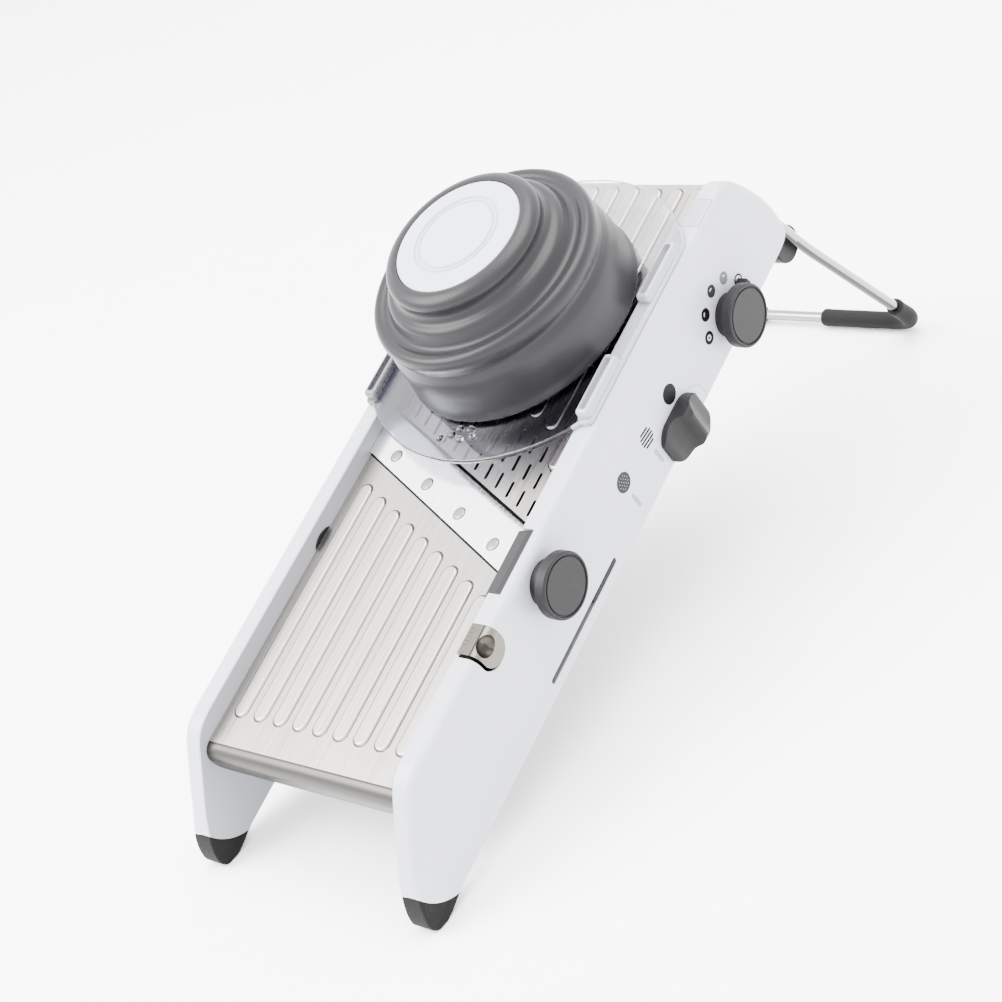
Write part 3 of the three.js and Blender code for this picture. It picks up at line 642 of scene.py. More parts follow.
def seam_region(offset):
    curve = []
    for k in range(13):
        t = k / 12
        a, b, c = (-49.3, -25.5), (-46.5, -40.0), (-34.5, -46.5)
        y = (1 - t) ** 2 * a[0] + 2 * t * (1 - t) * b[0] + t * t * c[0]
        z = (1 - t) ** 2 * a[1] + 2 * t * (1 - t) * b[1] + t * t * c[1]
        curve.append((y - offset, z - offset))
    outline = [(-62, -24 - offset)] + curve + [(-30, -58), (-66, -66)]
    return rounded_slab(outline, INNER_X - 5, OUTER_X + 5, side, 0, 0, 1)


def insert_block(grow):
    low, high = (INNER_X - 2, 266.6 - grow, 6.2 - grow), (OUTER_X - 2.2 + grow, 282 + grow, 12)
    return rounded_box(low, high, 0.6 + grow)


def release_block(grow, travel):
    y, z, radius = TAB_DISC
    skin, inside = OUTER_X + 5, OUTER_X - 4.5 - grow
    low, high = y - radius - grow - travel, y + radius + grow
    top = box((INNER_X - 2, low, 6.6 - grow), (OUTER_X - 3, high, 20))
    skirt = box((inside, low, z), (skin, high, 20))
    profile = [(0, inside), (radius + grow, inside), (radius + grow, skin), (0, skin)]
    discs = [revolve(profile, 48, "x", (at, z)) for at in (y, y - travel)]
    return combine(top, [skirt] + discs, "UNION")


def lock_slot_outline(radius, steps=12):
    low, high, z = LOCK_SLOT
    return stadium(low + 1.4, z, high - 1.4, z, radius, steps)


def lock_slot_cutter():
    return rounded_slab(lock_slot_outline(1.4), OUTER_X - 3.2, OUTER_X + 3, side, 0, 0, 1)


def make_lock_slot_liner():
    shell = rounded_slab(lock_slot_outline(1.39), OUTER_X - 3.19, OUTER_X - 0.3, side, 0, 0, 1)
    bore = rounded_slab(lock_slot_outline(1.2), OUTER_X - 3.0, OUTER_X + 3, side, 0, 0, 1)
    # Grey liner inside the lock slot: painted shade in the slot's recess.
    dark_detail("lock_slot_liner", cut(shell, bore), slot_shade_liner)


def grip_notch():
    """Notch along the inner edge of the right rail's top, which holds the grip."""
    low, high = (INNER_X - 3, GRIP_LOW - 0.25, 1.3), (GRIP_OUTER + 0.25, GRIP_HIGH + 0.25, 20)
    return rounded_box(low, high, 0.5, 2)


def recess_line():
    """Fine line round the upper end of the slider's travel."""
    centre, radius = (204.6, -41.0), 9.9
    outline = (arc(*centre, radius + 0.28, -38, 70, 24) + arc(*centre, radius - 0.28, 70, -38, 24))
    return rounded_slab(outline, OUTER_X - 0.35, OUTER_X + 3, side, 0.05, 0, 2)


def make_rails():
    plain = cut(rail_blank(), seam_region(0.0), below_table(), insert_block(0.25))
    left = plain.copy()
    right = cut(plain, release_block(0.3, TAB_TRAVEL), lock_slot_cutter(), grip_notch(), recess_line())
    piece("right_rail_shell", right, white_plastic, "white_plastic", "right_rail", 28)
    left = mirror(left)
    result = piece("left_rail_shell", left, white_plastic, "white_plastic", "left_rail", 28)
    # The left rail's inner wall (normals along +X) is painted darker: painted shade.
    painted(result, painted_shade_plastic, lambda at, out: out.x > 0.9)


def make_rail_details():
    for name, flip in (("right", False), ("left", True)):
        foot = combine(rail_blank(), [seam_region(0.25)], "INTERSECT")
        foot = cut(foot, below_table())
        filler = combine(rail_blank(), [insert_block(0)], "INTERSECT")
        if flip:
            foot, filler = mirror(foot), mirror(filler)
        piece(f"{name}_foot_rubber", foot, foot_rubber, "soft_rubber", f"{name}_foot_cap", 40)
        piece(f"{name}_rail_filler", filler, insert_plastic, "white_plastic", f"{name}_rail_insert", 28)


def make_release_tab():
    y = TAB_DISC[0]
    tab = combine(rail_blank(0.12), [release_block(0, 0)], "INTERSECT")
    lines = [box((INNER_X - 2, y - 2.8 + 1.9 * k, RAIL_TOP - 0.4), (61.6, y - 2.4 + 1.9 * k, 12))
             for k in range(5)]
    tab = cut(tab, ball(TAB_DIMPLE, 5.4), *lines)
    tab = softened(tab, 0.18, 2, 40)
    result = piece("release_tab_metal", tab, tab_steel, "brushed_steel", "release_tab", 40, "release")

    def in_dimple(at):
        return (at - Vector(TAB_DIMPLE)).length < 5.6 and at.x > 62

    # The dimple is painted darker, and darker still on its lower-Y side: painted shade.
    painted(result, dimple_shade_steel, lambda at, out: in_dimple(at))
    painted(result, dimple_deep_shade_steel, lambda at, out: in_dimple(at) and at.y < y + 0.9)
    # Dark liner round the tab's travel gap: painted shade in the gap.
    liner = combine(rail_blank(-0.9), [release_block(0.28, TAB_TRAVEL - 0.02)], "INTERSECT")
    dark_detail("release_tab_shadow_liner", cut(liner, release_block(0.12, TAB_TRAVEL - 0.1)))


make_rails()
make_rail_details()
make_release_tab()
make_lock_slot_liner()

# ---- decks


def filled(outline, holes, z):
    """Flat face at height z with holes in it, keeping every outline point."""
    curve = bpy.data.curves.new("outline", "CURVE")
    curve.dimensions = "2D"
    curve.fill_mode = "BOTH"
    for loop in [outline] + holes:
        line = curve.splines.new("POLY")
        line.points.add(len(loop) - 1)
        for point, (x, y) in zip(line.points, loop):
            point.co = (x, y, 0, 1)
        line.use_cyclic_u = True
    mesh = evaluated(placed("outline", curve))
    bpy.data.curves.remove(curve)
    bmesh.ops.remove_doubles(mesh, verts=mesh.verts, dist=1e-4)
    bmesh.ops.translate(mesh, vec=(0, 0, z), verts=mesh.verts)
    if sum(face.normal.z for face in mesh.faces) < 0:
        bmesh.ops.reverse_faces(mesh, faces=mesh.faces)
    return mesh


def rib_rings(centre_line, z):
    """Pressed rib on a sheet: rings from the crease at its foot to its flat top."""
    x0, y0, x1, y1 = centre_line
    section = [(0.62, 0), (0.58, -0.06), (0.1, -0.06), (-0.05, 0.28),
               (-0.25, 0.62), (-0.55, 0.83), (-0.95, RIB_HEIGHT)]
    return [[(x, y, z + height) for x, y in stadium(x0, y0, x1, y1, RIB_RADIUS + spread)]
            for spread, height in section]


def pressed_sheet(outline, ribs, slots, z):
    """Top skin of a sheet with pressed ribs and punched slots."""
    feet = [[(x, y) for x, y, _ in rib_rings(rib, z)[0]] for rib in ribs]
    parts = [filled(outline, feet + slots, z)]
    for rib in ribs:
        mesh, rows = bridged(rib_rings(rib, z))
        mesh.faces.new(rows[-1])
        parts.append(mesh)
    whole = joined(parts)
    bmesh.ops.remove_doubles(whole, verts=whole.verts, dist=1e-3)
    return whole


def thickened(mesh, thickness):
    carrier = temporary(mesh)
    modifier = carrier.modifiers.new("sheet", "SOLIDIFY")
    modifier.thickness = thickness
    modifier.offset = -1
    modifier.use_even_offset = True
    return evaluated(carrier)


def rib_xs():
    return [(k - 4) * RIB_PITCH for k in range(9)]


def paint_ribs(result, z):
    # Lighter flat top of each rib: painted highlight.
    painted(result, rib_top_highlight_steel, lambda at, out: at.z > z + RIB_HEIGHT - 0.12)
    # Dark ring at each rib's foot: painted shade in the crease.
    painted(result, painted_shade_steel, lambda at, out: z - 0.1 < at.z < z - 0.02 and out.z > 0.3)


def make_lower_deck():
    half = DECK_HALF
    outline = [(-half, LIP_Y), (half, LIP_Y), (half, diagonal(128.6, half)), (-half, diagonal(128.6, -half))]
    ribs = [(x, -2.2 + RIB_RADIUS, x, diagonal(97.5, x) - RIB_RADIUS) for x in rib_xs()]
    skin = pressed_sheet(outline, ribs, [], 0)
    lip = bmesh.new()
    rows = []
    for k in range(13):
        angle = pi / 2 * k / 12
        y = LIP_Y - LIP_RADIUS * sin(angle)
        z = -LIP_RADIUS * (1 - cos(angle))
        rows.append((y, z, 0))
    corner = 3.5
    for k in range(9):
        t = k / 8
        drop = -LIP_RADIUS + (LIP_DROP + LIP_RADIUS) * t
        into = max(0.0, -drop - (-LIP_DROP - corner))
        shrink = corner - sqrt(max(0.0, corner * corner - into * into))
        if k:
            rows.append((LIP_Y - LIP_RADIUS, drop, shrink))
    verts = [[lip.verts.new((s * (half - shrink), y, z)) for s in (-1, 1)] for y, z, shrink in rows]
    for low, high in zip(verts, verts[1:]):
        lip.faces.new((low[0], high[0], high[1], low[1]))
    whole = joined([skin, lip])
    bmesh.ops.remove_doubles(whole, verts=whole.verts, dist=1e-3)
    whole = thickened(whole, SHEET)
    result = piece("run_out_sheet", whole, deck_steel, "brushed_steel", "run_out_deck", 50)
    paint_ribs(result, 0)
    # The front lip is painted darker, darkest along its lower edge: painted reflection.
    painted(result, lip_dark_reflection_steel, lambda at, out: at.y < LIP_Y - 0.5)
    painted(result, lip_edge_dark_reflection_steel, lambda at, out: at.z < LIP_DROP + 1.4)


def slot_outlines():
    slots = []
    for row in range(SLOT_ROWS):
        for k in range(SLOTS_PER_ROW):
            x = SLOT_FIRST_X - (row % 2) * SLOT_PITCH / 2 - k * SLOT_PITCH
            y = diagonal(SLOT_ROW_Y + row * SLOT_ROW_STEP, x)
            if x > SLOT_LAST_X:
                slots.append(stadium(x, y - 3.4, x, y + 3.4, 0.8, 5))
    return slots


def slanted_strip(back, front, right):
    """Outline of a strip along the blade, from the left rail to right."""
    left = -DECK_HALF
    return [(left, diagonal(back, left)), (right, diagonal(back, right)),
            (right, diagonal(front, right)), (left, diagonal(front, left))]


def make_upper_deck():
    half = DECK_HALF
    low = BLADE_EDGE_Y + 1.8
    outline = [(-half, diagonal(low, -half)), (half, diagonal(low, half)), (half, 299), (-half, 299)]
    ribs = []
    for k, x in enumerate(rib_xs()):
        start = 144.0 if k == 8 else diagonal(162.5, x) + 14 + RIB_RADIUS
        ribs.append((x, start, x, 296 - RIB_RADIUS))
    skin = pressed_sheet(outline, ribs, slot_outlines(), RUN_IN_TOP)
    whole = thickened(skin, SHEET - 0.2)
    result = piece("run_in_sheet", whole, deck_steel, "brushed_steel", "run_in_deck", 50, "run_in")
    paint_ribs(result, RUN_IN_TOP)
    # The sheet's underside and edges near the blade are painted dark: painted shade in the gaps.
    painted(result, painted_shade_steel, lambda at, out: at.z < RUN_IN_TOP - 0.1 and at.y < 185)
    # Dark strip under the gap behind the blade's edge: painted shade.
    strip = rounded_slab(slanted_strip(130.5, 137, half), -5.6, -4.6, plan, 0.2, 0.2, 1)
    dark_detail("throat_shade_strip", strip, dark_plastic)


make_lower_deck()
make_upper_deck()

# ---- blade


def rivet_places():
    return [(k * RIVET_PITCH, diagonal(RIVET_LINE_Y, k * RIVET_PITCH)) for k in (-1.5, -0.5, 0.5, 1.5)]


def make_blade():
    outline = slanted_strip(BLADE_BACK_Y, BLADE_EDGE_Y, BLADE_RIGHT_X)
    strip = rounded_slab(outline, GAP, BLADE_TOP, plan, 0, 0, 1)
    bmesh.ops.remove_doubles(strip, verts=strip.verts, dist=1e-5)
    wedge = box((-120, 0, 0), (120, 12, 6))
    turn = (Matrix.Translation((0, BLADE_EDGE_Y, 0)) @ Matrix.Rotation(atan(BLADE_SLOPE), 4, "Z")
            @ Matrix.Translation((0, -3.1, BLADE_TOP)) @ Matrix.Rotation(radians(-20), 4, "X"))
    wedge.transform(turn)
    holes = [revolve([(0, -1), (RIVET_RADIUS + 0.32, -1), (RIVET_RADIUS + 0.32, 4), (0, 4)], 48, "z", at)
             for at in rivet_places()]
    strip = softened(cut(strip, wedge, *holes), 0.08, 1, 50)
    result = piece("blade_strip", strip, blade_steel, "polished_steel", "slicing_blade", 25)
    # The blade's side faces are painted dark: painted shade along its edges.
    painted(result, painted_shade_steel, lambda at, out: abs(out.z) < 0.5)
    # Dark strip along the blade's back: painted shadow line.
    line = slanted_strip(BLADE_BACK_Y - 1.1, BLADE_BACK_Y, 51.6)
    dark_detail("blade_back_shadow_line", rounded_slab(line, 0.02, 0.28, plan, 0, 0.1, 1), dark_plastic)
    # Dark rings round the rivet heads: painted shade.
    seats = [revolve([(RIVET_RADIUS + 0.02, GAP), (RIVET_RADIUS + 0.3, GAP), (RIVET_RADIUS + 0.3, 1.3),
                      (RIVET_RADIUS + 0.02, 1.3)], 48, "z", at) for at in rivet_places()]
    piece("rivet_shadow_rings", joined(seats), painted_shade_steel, "brushed_steel")
    for k, at in enumerate(rivet_places()):
        profile = [(0, GAP), (RIVET_RADIUS, GAP), (RIVET_RADIUS, BLADE_TOP)]
        profile += arc(RIVET_RADIUS - 0.4, BLADE_TOP, 0.4, 15, 75, 4)
        profile += [(1.2, BLADE_TOP + 0.46), (0, BLADE_TOP + 0.48)]
        head = revolve(profile, 48, "z", at)
        piece(f"rivet_head_{k + 1}", head, rivet_steel, "brushed_steel", f"blade_rivet_{k + 1}", 50)


def make_blade_grip():
    profile = filleted([(GRIP_INNER, 1.8, 0.3), (GRIP_OUTER, 1.8, 0.5), (GRIP_OUTER, GRIP_TOP, 0.6),
                        (61.8, GRIP_TOP, 2.5), (55.6, 6.9, 2.6), (GRIP_INNER, 2.7, 0.4)], 6)
    grip = rounded_slab(profile, GRIP_LOW, GRIP_HIGH, lambda x, z, y: (x, y, z), 0.7, 0.7, 3)
    piece("blade_grip_body", grip, grip_plastic, "grey_plastic", "blade_grip", 40)
    crescent = arc(89.5, -7.6, 10.7, 52.6, 127.4, 24)
    stop = rounded_slab(crescent, -INNER_X + GAP, -INNER_X + 1.1, side, 0.05, 0.25, 3)
    piece("blade_stop_body", stop, dark_plastic, "dark_plastic", "blade_stop", 40)


make_blade()
make_blade_grip()

# ---- controls on the right rail


def knob_profile():
    start, face = OUTER_X + GAP, OUTER_X + KNOB_HEIGHT
    flange = OUTER_X + KNOB_NECK
    corners = [
        (0, start, 0), (10.2, start, 0), (10.2, flange, 0.3), (KNOB_RADIUS, flange, 0.7),
        (KNOB_RADIUS, face, 0.9), (13.15, face, 0.2), (12.95, face - 0.8, 0.15),
        (12.4, face - 0.8, 0.15), (12.15, face - 0.1, 0.25), (0, face - 0.05, 0),
    ]
    return filleted(corners, 6, closed=False)


def make_knobs():
    turned = revolve(knob_profile(), 96, "x", BLADE_KNOB_CENTRE)
    piece("blade_knob_body", turned, knob_plastic, "grey_plastic", "blade_knob", 50, "blade_knob")
    dial = revolve(knob_profile(), 96, "x", DIAL_CENTRE)
    pointer = rounded_box((OUTER_X + GAP, 11.5, -2.0), (OUTER_X + 6.0, 17.3, 2.0), 0.7)
    turn = Matrix.Rotation(radians(DIAL_MARK_ANGLES[0]), 4, "X")
    pointer.transform(Matrix.Translation((0, *DIAL_CENTRE)) @ turn)
    dial = combine(dial, [pointer], "UNION")
    piece("thickness_dial_body", dial, knob_plastic, "grey_plastic", "thickness_dial", 50, "dial")
    _, high, z = LOCK_SLOT
    outline = stadium(high - 21.2, z, high - 1.7, z, 1.1)
    bar = rounded_slab(outline, OUTER_X - 2.9, OUTER_X + 0.2, side, 0.1, 0.3, 3)
    piece("lock_bar_body", bar, knob_plastic, "dark_plastic", "blade_lock_bar", 40, "lock_bar")


def make_slider():
    low, high, bottom, top = 177.0, 207.0, -49.3, -28.0
    curve = spline([(low, 2.0), (low + 2.5, 3.1), (184, 3.1), (187.6, 3.7), (189.8, 5.4), (191.2, 8.0),
                    (192.2, 9.7), (193.4, 10.4), (194.8, 10.0), (197, 8.3), (199.5, 6.8), (202.5, 5.9),
                    (205, 5.2), (206.4, 4.2), (high, 2.8)], 6)
    profile = [(high, GAP), (low, GAP)] + curve
    lever = rounded_slab(profile, bottom, top, lambda y, x, z: (OUTER_X + x, y, z), 0, 0, 1)
    outline = stadium(low + 9.2, (top + bottom) / 2, high - 9.2, (top + bottom) / 2, (top - bottom) / 2, 24)
    bounds = rounded_slab(outline, OUTER_X, OUTER_X + 30, side, 0, 0, 1)
    nub = filleted([(bottom - 1, -1, 0), (top + 1, -1, 0), (top + 1, 10.6, 6.0), (bottom - 1, 10.6, 7.5)], 8)
    across = rounded_slab(nub, low - 1, high + 1, lambda z, x, y: (OUTER_X + x, y, z), 0, 0, 1)
    lever = combine(lever, [bounds, across], "INTERSECT")
    lever = softened(lever, 1.1, 4, 35)
    hook = rounded_box((OUTER_X - 8, low + 7, bottom + 0.2), (OUTER_X + 3, high - 7, RAIL_BOTTOM - GAP), 0.5)
    lever = combine(lever, [hook], "UNION")
    piece("slider_lever", lever, knob_plastic, "grey_plastic", "julienne_slider", 45, "slider")


make_knobs()
make_slider()


def disc_icon(centre, radius, proud=0.1, hole=0.0):
    """Printed disc or ring on the rail's outer face."""
    low, high = OUTER_X - 0.05, OUTER_X + proud
    profile = [(hole, low), (radius, low), (radius, high - 0.03), (radius - 0.03, high), (hole, high)]
    return revolve(profile, 40, "x", centre)


def bar_icon(start, end, width, proud=0.1):
    outline = stadium(*start, *end, width / 2, 6)
    return rounded_slab(outline, OUTER_X - 0.05, OUTER_X + proud, side, 0, 0.03, 1)


def make_dial_icons():
    """Five marks round the dial, on a circle that its pointer sweeps."""
    marks = []
    for turn in DIAL_MARK_ANGLES:
        angle = radians(turn)
        marks.append((DIAL_CENTRE[0] + DIAL_MARK_CIRCLE * cos(angle),
                      DIAL_CENTRE[1] + DIAL_MARK_CIRCLE * sin(angle)))
    lock = [disc_icon(marks[0], 3.1, hole=2.2),
            bar_icon((marks[0][0] - 1, marks[0][1]), (marks[0][0] + 0.6, marks[0][1]), 1.3)]
    dark_detail("dial_mark_lock", joined(lock))
    dark_detail("dial_mark_thin", disc_icon(marks[1], 3.0), print_light)
    dark_detail("dial_mark_medium", disc_icon(marks[2], 3.0), print_grey)
    dark_detail("dial_mark_thick", disc_icon(marks[3], 3.1))
    dark_detail("dial_mark_widest", joined([disc_icon(marks[4], 3.1, hole=1.5), disc_icon(marks[4], 0.6)]))
    for k in (1, 2, 3):
        outward = Vector((marks[k][0] - DIAL_CENTRE[0], marks[k][1] - DIAL_CENTRE[1])).normalized()
        centre = Vector(marks[k]) + outward * 1.0
        across = Vector((-outward.y, outward.x)) * 0.7
        mark = bar_icon(centre - across, centre + across, 0.6, proud=0.14)
        piece(f"dial_mark_light_{k}", mark, white_plastic, "white_plastic")


def make_slider_icons():
    dark_detail("slider_mark_off", disc_icon((197.8, -22.3), SLIDER_MARK_RADIUS))
    stripes = []
    lean = radians(-8)
    along = Vector((cos(lean), sin(lean)))
    across = Vector((-sin(lean), cos(lean)))
    for k in range(-2, 3):
        offset = 1.75 * k
        half = sqrt(SLIDER_MARK_RADIUS ** 2 - offset ** 2) - 0.5
        middle = Vector((174.0, -22.1)) + across * offset
        stripes.append(bar_icon(middle - along * half, middle + along * half, 0.98))
    dark_detail("slider_mark_coarse", joined(stripes))
    centre = (150.2, -21.9)
    dark_detail("slider_mark_fine", disc_icon(centre, SLIDER_MARK_RADIUS), print_grey)
    dots = []
    for row in range(-4, 5):
        for column in range(-4, 5):
            u, v = column * 1.6 + (row % 2) * 0.8, row * 1.4
            if u * u + v * v < 4.2 ** 2:
                dots.append(disc_icon((centre[0] + u, centre[1] + v), 0.16, proud=0.14))
    piece("slider_mark_dots", joined(dots), white_plastic, "white_plastic")
    # The ticks are grey: painted shade on their raised edges.
    ticks = [bar_icon((y, -31.2), (y, -37.6), 1.9, 0.22) for y in (173.4, 149.7)]
    piece("slider_ticks", joined(ticks), tick_shade_plastic, "white_plastic")


make_dial_icons()
make_slider_icons()

# ---- food holder


def on_holder_axis(profile, segments):
    return revolve(profile, segments, "z", (0, HOLDER_Y))


def make_bell():
    outside = spline([
        (58.6, 12.5), (59.2, 13.6), (58.9, 15), (58.2, 18), (57.8, 24), (57.5, 30), (56.8, 35),
        (55.8, 37.8), (55.1, 39.8), (55.2, 41.4), (55.9, 43.6), (56.2, 46.3), (55.4, 48.9),
        (53.6, 50.3), (51.4, 50.3), (49.6, 49.6), (47.8, 49.6), (46.2, 50.8), (45, 53.2),
        (44.2, 55.2), (42.6, 56.6), (40.2, 57.6), (38.6, 59.6), (38.3, 61.8), (38.6, 64.3),
        (38, 66.3), (36.2, 68), (33.5, 69), (31.3, 68.9),
    ], 6)
    inside = [(31.3, 66.2), (0, 66.2), (0, 62.6), (34, 62.6), (36.2, 57.4), (41.8, 53.4), (44.4, 47.8),
              (50.6, 47.4), (52.8, 45.4), (52.8, 40), (54.8, 33), (56.6, 12.9)]
    whole = on_holder_axis(inside[2:] + outside + inside[:2], 160)
    piece("bell_shell", whole, bell_plastic, "grey_plastic", "pusher_bell", 60, "pusher", weighted=False)
    cap_profile = filleted([
        (0, 66.5, 0), (CAP_RADIUS, 66.5, 0), (CAP_RADIUS, CAP_Z - 0.2, 0.8), (21.8, CAP_Z + 0.7, 0.4),
        (21.2, CAP_Z - 0.5, 0.3), (20.5, CAP_Z - 0.5, 0.3), (20.0, CAP_Z + 0.4, 0.2),
        (19.6, CAP_Z + 0.4, 0.2), (19.1, CAP_Z - 0.5, 0.3), (18.5, CAP_Z - 0.5, 0.3),
        (17.9, CAP_Z + 0.7, 0.4), (0, CAP_Z + 0.75, 0),
    ], 6, closed=False)
    whole = on_holder_axis(cap_profile, 128)
    piece("cap_disc", whole, cap_plastic, "white_plastic", "pusher_cap", 60, "pusher", weighted=False)


def brim_outline():
    """Lens between a far and a flatter near arc, its sides cut straight over the rails."""
    far, near = [degrees(acos(BRIM_LIMIT / radius)) for _, radius in (BRIM_FAR, BRIM_NEAR)]
    upper = arc(0, BRIM_FAR[0], BRIM_FAR[1], far, 180 - far, 64)
    lower = arc(0, BRIM_NEAR[0], BRIM_NEAR[1], 180 + near, 360 - near, 64)
    return upper + lower


def make_carriage():
    plate = rounded_slab(brim_outline(), BRIM_BOTTOM, BRIM_TOP, plan, 0.5, 0.9, 4)
    inner = COLLAR_RADIUS - 2.4
    opening = on_holder_axis([(0, 0), (inner, 0), (inner, 30), (0, 30)], 128)
    wall = filleted([(inner, BRIM_BOTTOM + 0.01, 0), (COLLAR_RADIUS, BRIM_BOTTOM + 0.01, 0),
                     (COLLAR_RADIUS, COLLAR_TOP, 0.8), (inner, COLLAR_TOP, 0.8)], 4)
    extras = [on_holder_axis(wall, 128)]
    wing = filleted([(59, 157, 3), (67.2, 157, 3), (67.2, 255, 3), (59, 255, 3)], 6)
    for sign in (1, -1):
        solids = [rounded_slab(wing, BRIM_BOTTOM + 0.02, BRIM_TOP + 0.02, plan, 0.4, 0.8, 3)]
        for start in (159.0, 221.0):
            lug = rounded_box((59.6, start, 10.5), (66.9, start + 32, 15.6), 2.0, 5)
            pocket = rounded_box((61.6, start + 2.2, 12.2), (65.0, start + 29.8, 20), 1.2, 3)
            solids.append(cut(lug, pocket))
        extras += [solid if sign > 0 else mirror(solid) for solid in solids]
    for x, y in ((-10, 1), (-4, 3.2), (2, 1.4), (8, 3.4), (-1, 6.6), (5, 7)):
        extras.append(ball((x, 141 + y, BRIM_TOP), 1.9, (1, 1, 0.8)))
    shell = combine(cut(plate, opening), extras, "UNION")
    result = piece("carriage_shell", shell, brim_shell, "clear_plastic", "food_carriage", 40, "carriage")
    painted(result, wing_shell, lambda at, out: at.x > 59.1)
    # The left wing gets a darker copy: painted shade.
    painted(result, wing_shade_shell, lambda at, out: at.x < -59.1)


def make_prong_plate():
    profile = filleted([(0, 15, 0), (41, 15, 0.8), (41, 18, 0.8), (9, 18, 1.5), (9, 62.3, 0.4),
                        (0, 62.3, 0)], 4, closed=False)
    disc = on_holder_axis(profile, 96)
    prongs = []
    for radius, count in ((12, 5), (25, 9), (36, 12)):
        for k in range(count):
            angle = 2 * pi * (k + 0.5) / count
            at = (radius * cos(angle), HOLDER_Y + radius * sin(angle))
            prongs.append(revolve([(0, 6.6), (0.25, 6.7), (1.7, 15.2), (0, 15.2)], 16, "z", at))
    whole = joined([disc] + prongs)
    piece("prong_disc", whole, clear_shell, "clear_plastic", "prong_plate", 40, "pusher")


make_bell()
make_carriage()
make_prong_plate()

# ---- stand


def bezier(a, b, c, steps):
    spans = [k / steps for k in range(steps + 1)]
    return [a * (1 - t) ** 2 + b * 2 * t * (1 - t) + c * t * t for t in spans]


def half_wire(sign):
    """Centre line of one half: from the leg's top to the middle of the base."""
    def at(y, z):
        return Vector((sign * LEG_X, y, z))
    foot, bend = at(*LEG_FOOT), at(*LEG_BEND)
    up = (bend - foot).normalized()
    inward = Vector((-sign, 0, 0))
    knee = bezier(at(322.8, -67.4), bend, at(328.2, -84.5), 8)
    corner = bezier(foot + up * 13, foot, foot + inward * 13, 14)
    return at(*LEG_TOP), knee, corner, up, inward


def sweep(path, radii, sides):
    """Round bar along a path with a radius at each point, closed at both ends."""
    loops = []
    up = Vector((0, 0.36, 0.93))
    for k, point in enumerate(path):
        along = (path[min(k + 1, len(path) - 1)] - path[max(k - 1, 0)]).normalized()
        across = along.cross(up).normalized()
        up = across.cross(along).normalized()
        loops.append([point + radii[k] * (cos(2 * pi * j / sides) * across
                                          + sin(2 * pi * j / sides) * up)
                      for j in range(sides)])
    return loft(loops)


def make_wire():
    top, knee, corner, _, _ = half_wire(1)
    top2, knee2, corner2, _, _ = half_wire(-1)
    path = [top] + knee + corner + corner2[::-1] + knee2[::-1] + [top2]
    whole = softened(sweep(path, [WIRE_RADIUS] * len(path), 28), 0.5, 3, 60)
    result = piece("stand_wire_bar", whole, wire_steel, "wire_steel", "stand_wire", 50, "stand")
    painted(result, wire_shade_steel, lambda at, out: out.z < -0.15)


def make_sleeves():
    for name, sign in (("right", 1), ("left", -1)):
        _, _, corner, up, inward = half_wire(sign)
        leg_steps = [(11.4, 3.3), (11.4, 4.0), (11.0, 4.45), (10.0, 4.6), (8.5, 4.5), (5, 4.35)]
        path = [corner[0] + up * reach for reach, _ in leg_steps] + corner
        radii = [radius for _, radius in leg_steps] + [4.55] * len(corner)
        base_reach = SLEEVE_REACH[name]
        base_steps = [(25, 4.65), (14, 4.6), (4.7, 4.65), (2.1, 4.75), (0.7, 4.6), (0.1, 4.1), (0, 3.3)]
        for short, radius in base_steps:
            if base_reach - short > 0:
                path.append(corner[-1] + inward * (base_reach - short))
                radii.append(radius)
        # Keep the two end faces square to the wire.
        path[0] = path[0] + up * 0.05
        path[-1] = path[-1] + inward * 0.05
        whole = sweep(path, radii, 32)
        bore = [corner[0] + up * 20] + corner + [corner[-1] + inward * (base_reach + 12)]
        whole = cut(whole, sweep(bore, [WIRE_RADIUS + 0.05] * len(bore), 28))
        piece(f"{name}_sleeve", whole, sleeve_rubber, "soft_rubber", f"{name}_stand_sleeve", 50, "stand")


def make_hinges():
    for name, sign in (("right", 1), ("left", -1)):
        neck = rounded_slab(stadium(*PIVOT, *ARM_END, 6.2), 43, 51.2, side, 0.8, 0.8, 4)
        boss = rounded_slab(arc(*ARM_END, 9.3, 0, 354, 59), 43, 51.2, side, 0.8, 0.8, 4)
        arm = combine(neck, [boss], "UNION")
        pin = revolve([(0, 51.5), (2.6, 51.5), (2.6, 57.4), (2.1, 57.9), (0, 57.9)], 32, "x", PIVOT)
        if sign < 0:
            arm, pin = mirror(arm), mirror(pin)
        piece(f"{name}_arm", arm, knob_plastic, "grey_plastic", f"{name}_hinge_arm", 40, "stand")
        piece(f"{name}_pin", pin, wire_steel, "wire_steel", f"{name}_hinge_pin", 40, "stand")


make_wire()
make_sleeves()
make_hinges()

# ---- CAD pieces that stay as they are

for node, material in (("front_bridge", white_plastic), ("middle_bridge", white_plastic),
                       ("rear_bridge", white_plastic), ("run_in_hinge_rod", wire_steel),
                       # The comb is near black: painted shade under the slots.
                       ("julienne_comb", comb_painted_shade_steel)):
    data = frame["nodes"][node].data
    data.materials.clear()
    data.materials.append(material)

# ---- floor, light, camera

FLOOR_REACH = 6.0
WORLD_STRENGTH = 5.5
AIM = (45.7, 112.6, 14.5)  # the point the camera looks at, in the deck frame


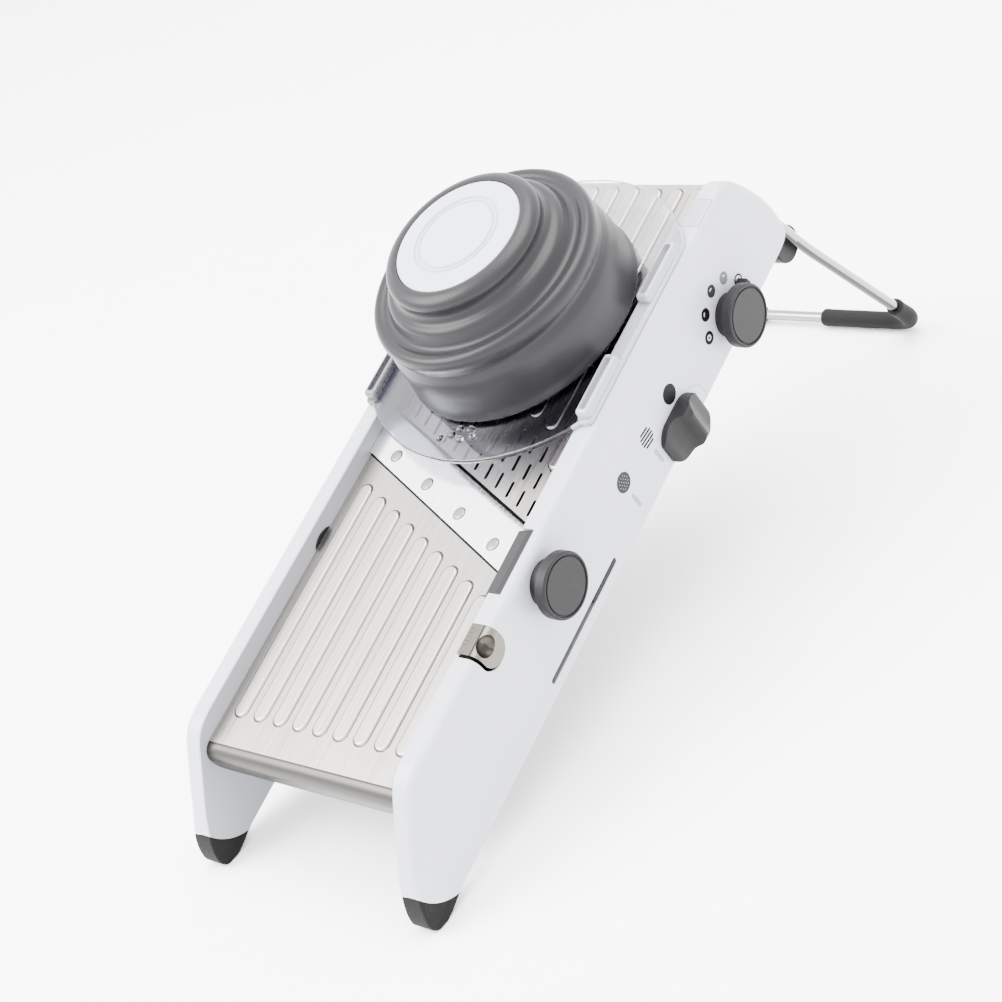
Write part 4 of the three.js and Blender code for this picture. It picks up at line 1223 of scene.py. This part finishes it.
def make_floor():
    nodes = Nodes("floor_paper")
    fibres = nodes.noise((30, 30, 30), detail=3)
    nodes.tint(fibres, (0.93, 0.93, 0.93), (0.95, 0.95, 0.95))
    nodes.set(Roughness=0.9)
    data = bpy.data.meshes.new("floor")
    corners = [(u * FLOOR_REACH, v * FLOOR_REACH, 0) for u, v in ((-1, -1), (1, -1), (1, 1), (-1, 1))]
    data.from_pydata(corners, [], [(0, 1, 2, 3)])
    data.materials.append(nodes.material)
    floor = placed("floor", data)
    floor.location.z = -0.0005


def softbox(name, place, size, power):
    """Rectangular area light that faces the middle of the slicer."""
    light = bpy.data.lights.new(name, "AREA")
    light.shape = "RECTANGLE"
    light.size, light.size_y = size
    light.energy = power
    lamp = placed(name, light)
    lamp.location = place
    lamp.rotation_euler = (Vector((0, 0, 0.1)) - Vector(place)).to_track_quat("-Z", "Y").to_euler()


def make_world(strength):
    world = bpy.data.worlds.new("studio")
    world.use_nodes = True
    background = world.node_tree.nodes["Background"]
    background.inputs["Color"].default_value = (0.97, 0.98, 1.0, 1)
    background.inputs["Strength"].default_value = strength
    bpy.context.scene.world = world


def make_camera(azimuth, elevation, roll, distance, target, lens):
    """Azimuth 0 looks along +Y; positive azimuth walks round to the right side."""
    a, e = radians(azimuth), radians(elevation)
    away = Vector((sin(a) * cos(e), -cos(a) * cos(e), sin(e)))
    camera = placed("camera", bpy.data.cameras.new("camera"))
    camera.location = Vector(target) + away * distance
    turn = (-away).to_track_quat("-Z", "Y").to_matrix()
    camera.rotation_euler = (turn @ Matrix.Rotation(radians(roll), 3, "Z")).to_euler()
    camera.data.lens = lens
    camera.data.sensor_width = 36
    camera.data.clip_start = 0.01
    bpy.context.scene.camera = camera


make_floor()
make_world(WORLD_STRENGTH)
softbox("key", (-0.9, -0.9, 1.3), (1.1, 1.1), 110)
softbox("top", (0.1, 0.3, 1.6), (1.4, 1.0), 75)
make_camera(azimuth=49.518, elevation=29.768, roll=-22.78, distance=0.9,
            target=DECK @ Vector(AIM), lens=77.38)
